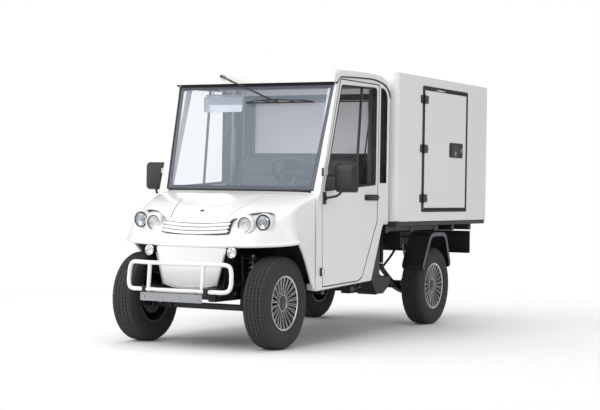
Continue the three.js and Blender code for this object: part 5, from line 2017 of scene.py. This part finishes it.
@dataclass(frozen=True)
class CargoBox:
    """The closed box with its side doors, rear doors and rear lamps."""

    HINGES = (948, 1307, 1663)

    def build(self) -> None:
        """Makes the box and its doors."""
        dressed("cargo_box", WHITE, 4, segments=3)
        self._inside()
        self._outside_trim()
        for side, sign in SIDES.items():
            self._side_door(side, sign)
            self._rear_door(side, sign)
            self._tail_lamp(side, sign)
        self._rear_board()

    def _inside(self) -> None:
        """Floor ribs and lashing rails."""
        inside = Shape()
        inside.box(at(-634, 1418, 805), at(634, 3046, 808), GREY_PAINT)
        for sign in (1, -1):
            for z in (1050, 1400):
                inside.box(at(sign * 628, 1425, z), at(sign * 640, 1835, z + 40), STEEL)
        inside.piece("load_floor", bevel=0.001)
        rib = block("floor_rib", (-0.004, 0, 0), (0.004, 1.62, 0.002), GREY_PAINT)
        row = Repeat.row(rib, 31, at(-600, 1422, 808), (0.04, 0, 0))
        show(row, "load_floor_ribs")

    def _outside_trim(self) -> None:
        """Corner profiles, front corner blocks, gutters and rivets."""
        trim = Shape()
        for sign in (1, -1):
            trim.box(at(sign * 626, 3046, 784), at(sign * 663.2, 3081, 1827), WHITE)
            trim.slab([(1392, 744), (1450, 744), (1450, 786), (1392, 786)], sign * 600, sign * 664,
                      BLACK_PLASTIC, "yz")
        trim.box(at(-655, 3072, 1806), at(655, 3090, 1826), WHITE)
        trim.piece("box_corner_trim", bevel=0.002)
        for side, sign in SIDES.items():
            rivet = Shape()
            profile = [(0, 0.0022), (0.0030, 0.0018), (0.0046, 0.0006), (0.0050, 0)]
            rivet.lathe(profile, (0, 0, 0), (sign, 0, 0), WHITE, 12)
            mesh = rivet.data("rivet_" + outward(sign))
            row = Repeat.row(mesh, 13, at(sign * 663.2, 3063, 820), (0, 0, 0.0815))
            show(row, f"corner_rivets_{side}")

    def _side_door(self, side: str, sign: int) -> None:
        """White leaf in a black seal frame, with three hinges and a paddle latch."""
        body = "box_door_" + side
        leaf = Shape()
        leaf.box(at(sign * 642, 1850, 870), at(sign * 664, 2650, 1740), WHITE)
        leaf.piece(f"box_door_{side}_finished", body, 0.003, replaces=["box_door_" + side])
        for ring, low, high, who, where in (
            ("frame", (1821, 849, 2675, 1762), (1846, 866, 2654, 1744), BODY, (661.5, 665)),
            ("edge", (1850.5, 870.5, 2649.5, 1739.5), (1859, 879, 2644, 1731), body, (663.5, 665.2)),
        ):
            seal = Shape()
            outer = rectangle(*low, 16, 5)
            inner = rectangle(*high, 8, 5)
            a, b = (sign * v for v in where)
            loops = [beside(a, outer), beside(b, outer),
                     beside(b, inner), beside(a, inner)]
            seal.rings(loops, SEAL, closed=True)
            seal.piece(f"box_door_{ring}_{side}", who)
        metal = Shape()
        for z in self.HINGES:
            metal.tube([at(sign * 672, 1838, z - 35), at(sign * 672, 1838, z + 35)], 0.007, BLACK_STEEL, 18)
            metal.box(at(sign * 665, 1842, z - 28), at(sign * 669, 1916, z + 28), BLACK_STEEL)
        metal.piece(f"box_hinges_{side}", body, 0.0012)
        fixed = Shape()
        for z in self.HINGES:
            fixed.box(at(sign * 662, 1786, z - 28), at(sign * 667, 1829, z + 28), BLACK_STEEL)
        fixed.piece(f"box_hinge_plates_{side}", bevel=0.0012)
        for n, z in enumerate(self.HINGES):
            bolts = Repeat.row(bolt(4.5, 3.5, outward(sign)), 2, at(sign * 669, 1896, z - 16), (0, 0, 0.032))
            show(bolts, f"box_hinge_bolts_{n}_{side}", body)
        latch = Shape()
        plate = rectangle(2322, 1256, 2578, 1366, 14, 5)
        latch.slab(plate, sign * 664, sign * 668, BLACK_PLASTIC, "yz")
        paddle = rectangle(2350, 1276, 2500, 1346, 10, 5)
        latch.slab(paddle, sign * 668, sign * 672, BLACK_STEEL, "yz")
        latch.tube([at(sign * 667, 2540, 1311), at(sign * 673.5, 2540, 1311)], 0.015, STEEL, 28)
        latch.tube([at(sign * 673, 2540, 1311), at(sign * 674, 2540, 1311)], 0.004, SEAL, 12)
        latch.tube([at(sign * 671, 2425, 1286), at(sign * 673.5, 2425, 1286)], 0.018, STEEL, 24)
        latch.piece(f"box_latch_{side}", body, 0.001)

    def _rear_door(self, side: str, sign: int) -> None:
        """White leaf with hinges, lock rod, guides, grip and a rubber edge."""
        body = "rear_door_" + side
        leaf = Shape()
        leaf.box(at(sign * 3, 3052, 814), at(sign * 634, 3078, 1800), WHITE)
        leaf.piece(f"rear_door_{side}_finished", body, 0.003, replaces=["rear_door_" + side])
        loop = rectangle(8, 820, 629, 1794, 14, 5)
        rubber = Shape()
        rubber.tube([at(sign * x, 3077, z) for x, z in loop], 0.0045, SEAL, 8, closed=True)
        rubber.piece(f"rear_door_rubber_{side}", body)
        metal = Shape()
        for z in (900, 1307, 1714):
            metal.tube([at(sign * 650, 3088, z - 35), at(sign * 650, 3088, z + 35)], 0.007, BLACK_STEEL, 18)
            metal.box(at(sign * 560, 3080.5, z - 25), at(sign * 648, 3084.5, z + 25), BLACK_STEEL)
        metal.tube([at(sign * 40, 3098, 830), at(sign * 40, 3098, 1784)], 0.009, STEEL, 20)
        for z in (860, 1307, 1750):
            metal.box(at(sign * 24, 3077, z - 14), at(sign * 56, 3088, z + 14), BLACK_STEEL)
            for x in (sign * 40 - 16, sign * 40 + 10):
                metal.box(at(x, 3077, z - 12), at(x + 6, 3105, z + 12), BLACK_STEEL)
        metal.tube([at(sign * 34, 3101, 1192), at(sign * 190, 3101, 1192)], 0, STEEL,
                   section=[(-0.005, -0.011), (0.005, -0.011), (0.005, 0.011), (-0.005, 0.011)], up=(0, 0, 1))
        metal.piece(f"rear_door_fittings_{side}", body, 0.001)

    def _tail_lamp(self, side: str, sign: int) -> None:
        """Housing with red, amber and clear parts."""
        lamp = Shape()
        outline = [(sign * x, z) for x, z in rectangle(330, 560, 530, 645, 14, 5)]
        lamp.slab(outline, 3050.5, 3070, BLACK_PLASTIC, "xz")
        for x0, x1, finish in ((336, 392, WHITE), (396, 456, AMBER_LENS), (460, 524, RED_LENS)):
            lens = [(sign * x, z) for x, z in rectangle(x0, 567, x1, 638, 7, 4)]
            lamp.slab(lens, 3069, 3084, finish, "xz")
        lamp.piece(f"tail_lamp_{side}_finished", bevel=0.003, replaces=["tail_lamp_" + side])
        rib = block("lens_rib", (-0.027, 0, 0), (0.027, 0.0012, 0.0012), RED_LENS)
        row = Repeat.row(rib, 14, at(sign * 492, 3083.5, 574), (0, 0, 0.0045))
        show(row, f"tail_lens_ribs_{side}")

    def _rear_board(self) -> None:
        """Folded black board with a blank plate, plate lamp and reflectors."""
        dressed("rear_lamp_board", BLACK_STEEL, 1.2)
        board = Shape()
        plate = rectangle(-225, 548, 225, 652, 8, 4)
        board.slab(plate, 3054, 3056, WHITE, "xz")
        board.box(at(-60, 3050, 662), at(60, 3072, 682), BLACK_PLASTIC)
        for x in (-540, 540):
            board.tube([at(x * 0.985, 3050, 540), at(x * 0.985, 3056, 540)], 0.016, RED_LENS, 28)
        board.piece("rear_plate_and_reflectors", bevel=0.0008)
        bolt_row("board_bolts", 6, (-500, 3050, 530), (200, 0, 0), "y", 5)


# ---- Studio --------------------------------------------------------------------------


@dataclass(frozen=True)
class Studio:
    """Camera, soft lights and a plain pale floor."""

    eye: tuple[float, float, float] = (5145, -8372, 993)
    azimuth: float = 28.243
    pitch: float = 0.551
    roll: float = 0.893
    lens: float = 92.3

    def build(self) -> None:
        """Makes the studio."""
        self._camera()
        self._floor()
        self._light("key", (-0.8, -7.5, 5.0), (0.0, -0.4, 0.8), 5.0, 300)
        self._light("front_fill", (-6.0, -4.5, 3.0), (0.0, -0.8, 0.9), 5.0, 160)
        self._light("side_fill", (7.5, -1.5, 3.2), (0.0, 0.3, 0.9), 5.0, 90)
        self._light("top", (0.0, 0.0, 6.5), (0.0, 0.0, 0.0), 6.0, 150)
        self._light("rear", (-3.0, 6.5, 3.6), (0.0, 0.8, 0.9), 5.0, 180)
        self._light("cab_fill", (0.0, -0.66, 1.66), (0.0, 0.0, 1.3), 0.8, 2.2)
        world = bpy.data.worlds.new("studio_world")
        world.use_nodes = True
        tree = world.node_tree
        background = tree.nodes["Background"]
        background.inputs["Color"].default_value = (1, 1, 1, 1)
        seen = tree.nodes.new("ShaderNodeLightPath").outputs["Is Camera Ray"]
        span = tree.nodes.new("ShaderNodeMapRange")
        span.inputs["To Min"].default_value = 0.55
        span.inputs["To Max"].default_value = 1.0
        tree.links.new(seen, span.inputs["Value"])
        tree.links.new(span.outputs["Result"], background.inputs["Strength"])
        bpy.context.scene.world = world
        bpy.context.scene.view_settings.view_transform = "Standard"

    def _camera(self) -> None:
        """The camera on the front left corner."""
        data = bpy.data.cameras.new("camera")
        data.lens = self.lens
        data.sensor_width = 36
        data.clip_end = 200
        camera = bpy.data.objects.new("camera", data)
        az, pitch, roll = (math.radians(v) for v in (self.azimuth, self.pitch, self.roll))
        look = Vector((-math.sin(az) * math.cos(pitch), math.cos(az) * math.cos(pitch), -math.sin(pitch)))
        level = look.cross(Vector((0, 0, 1))).normalized()
        up = level.cross(look)
        right = level * math.cos(roll) + up * math.sin(roll)
        top = right.cross(look)
        place = Matrix((right, top, -look)).transposed().to_4x4()
        place.translation = at(*self.eye)
        camera.matrix_world = place
        bpy.context.scene.collection.objects.link(camera)
        bpy.context.scene.camera = camera

    def _floor(self) -> None:
        """A floor at the tyres' feet that fades out around the van."""
        mesh = bpy.data.meshes.new("floor")
        mesh.from_pydata([(-40, -40, 0), (40, -40, 0), (40, 40, 0), (-40, 40, 0)], [], [(0, 1, 2, 3)])
        floor = loose(mesh, "floor")
        material = bpy.data.materials.new("floor")
        material.use_nodes = True
        tree = material.node_tree
        shader = tree.nodes["Principled BSDF"]
        shader.inputs["Base Color"].default_value = (0.86, 0.86, 0.86, 1)
        shader.inputs["Roughness"].default_value = 0.9
        distance = tree.nodes.new("ShaderNodeVectorMath")
        distance.operation = "LENGTH"
        tree.links.new(tree.nodes.new("ShaderNodeTexCoord").outputs["Object"], distance.inputs[0])
        fade = tree.nodes.new("ShaderNodeMapRange")
        fade.inputs["From Min"].default_value = 2.0
        fade.inputs["From Max"].default_value = 4.6
        tree.links.new(distance.outputs["Value"], fade.inputs["Value"])
        mix = tree.nodes.new("ShaderNodeMixShader")
        tree.links.new(fade.outputs["Result"], mix.inputs["Fac"])
        tree.links.new(shader.outputs["BSDF"], mix.inputs[1])
        tree.links.new(tree.nodes.new("ShaderNodeBsdfTransparent").outputs["BSDF"], mix.inputs[2])
        tree.links.new(mix.outputs["Shader"], tree.nodes["Material Output"].inputs["Surface"])
        mesh.materials.append(material)

    def _light(self, name: str, place: Point, target: Point, size: float, power: float) -> None:
        """Adds a square soft light."""
        data = bpy.data.lights.new(name, "AREA")
        data.size = size
        data.energy = power
        light = bpy.data.objects.new(name, data)
        light.location = place
        light.visible_camera = False
        ahead = Vector(target) - Vector(place)
        light.rotation_euler = ahead.to_track_quat("-Z", "Y").to_euler()
        bpy.context.scene.collection.objects.link(light)


def main() -> None:
    """Builds the studio and every sub-assembly."""
    logging.basicConfig(level=logging.INFO, format="%(message)s")
    Studio().build()
    for part in (WheelSet(), Chassis(), RunningGear(), FrontBody(), Guard(), Cab(), Interior(), CargoBox()):
        LOG.info("== %s", type(part).__name__)
        part.build()


if __name__ == "__main__":
    main()
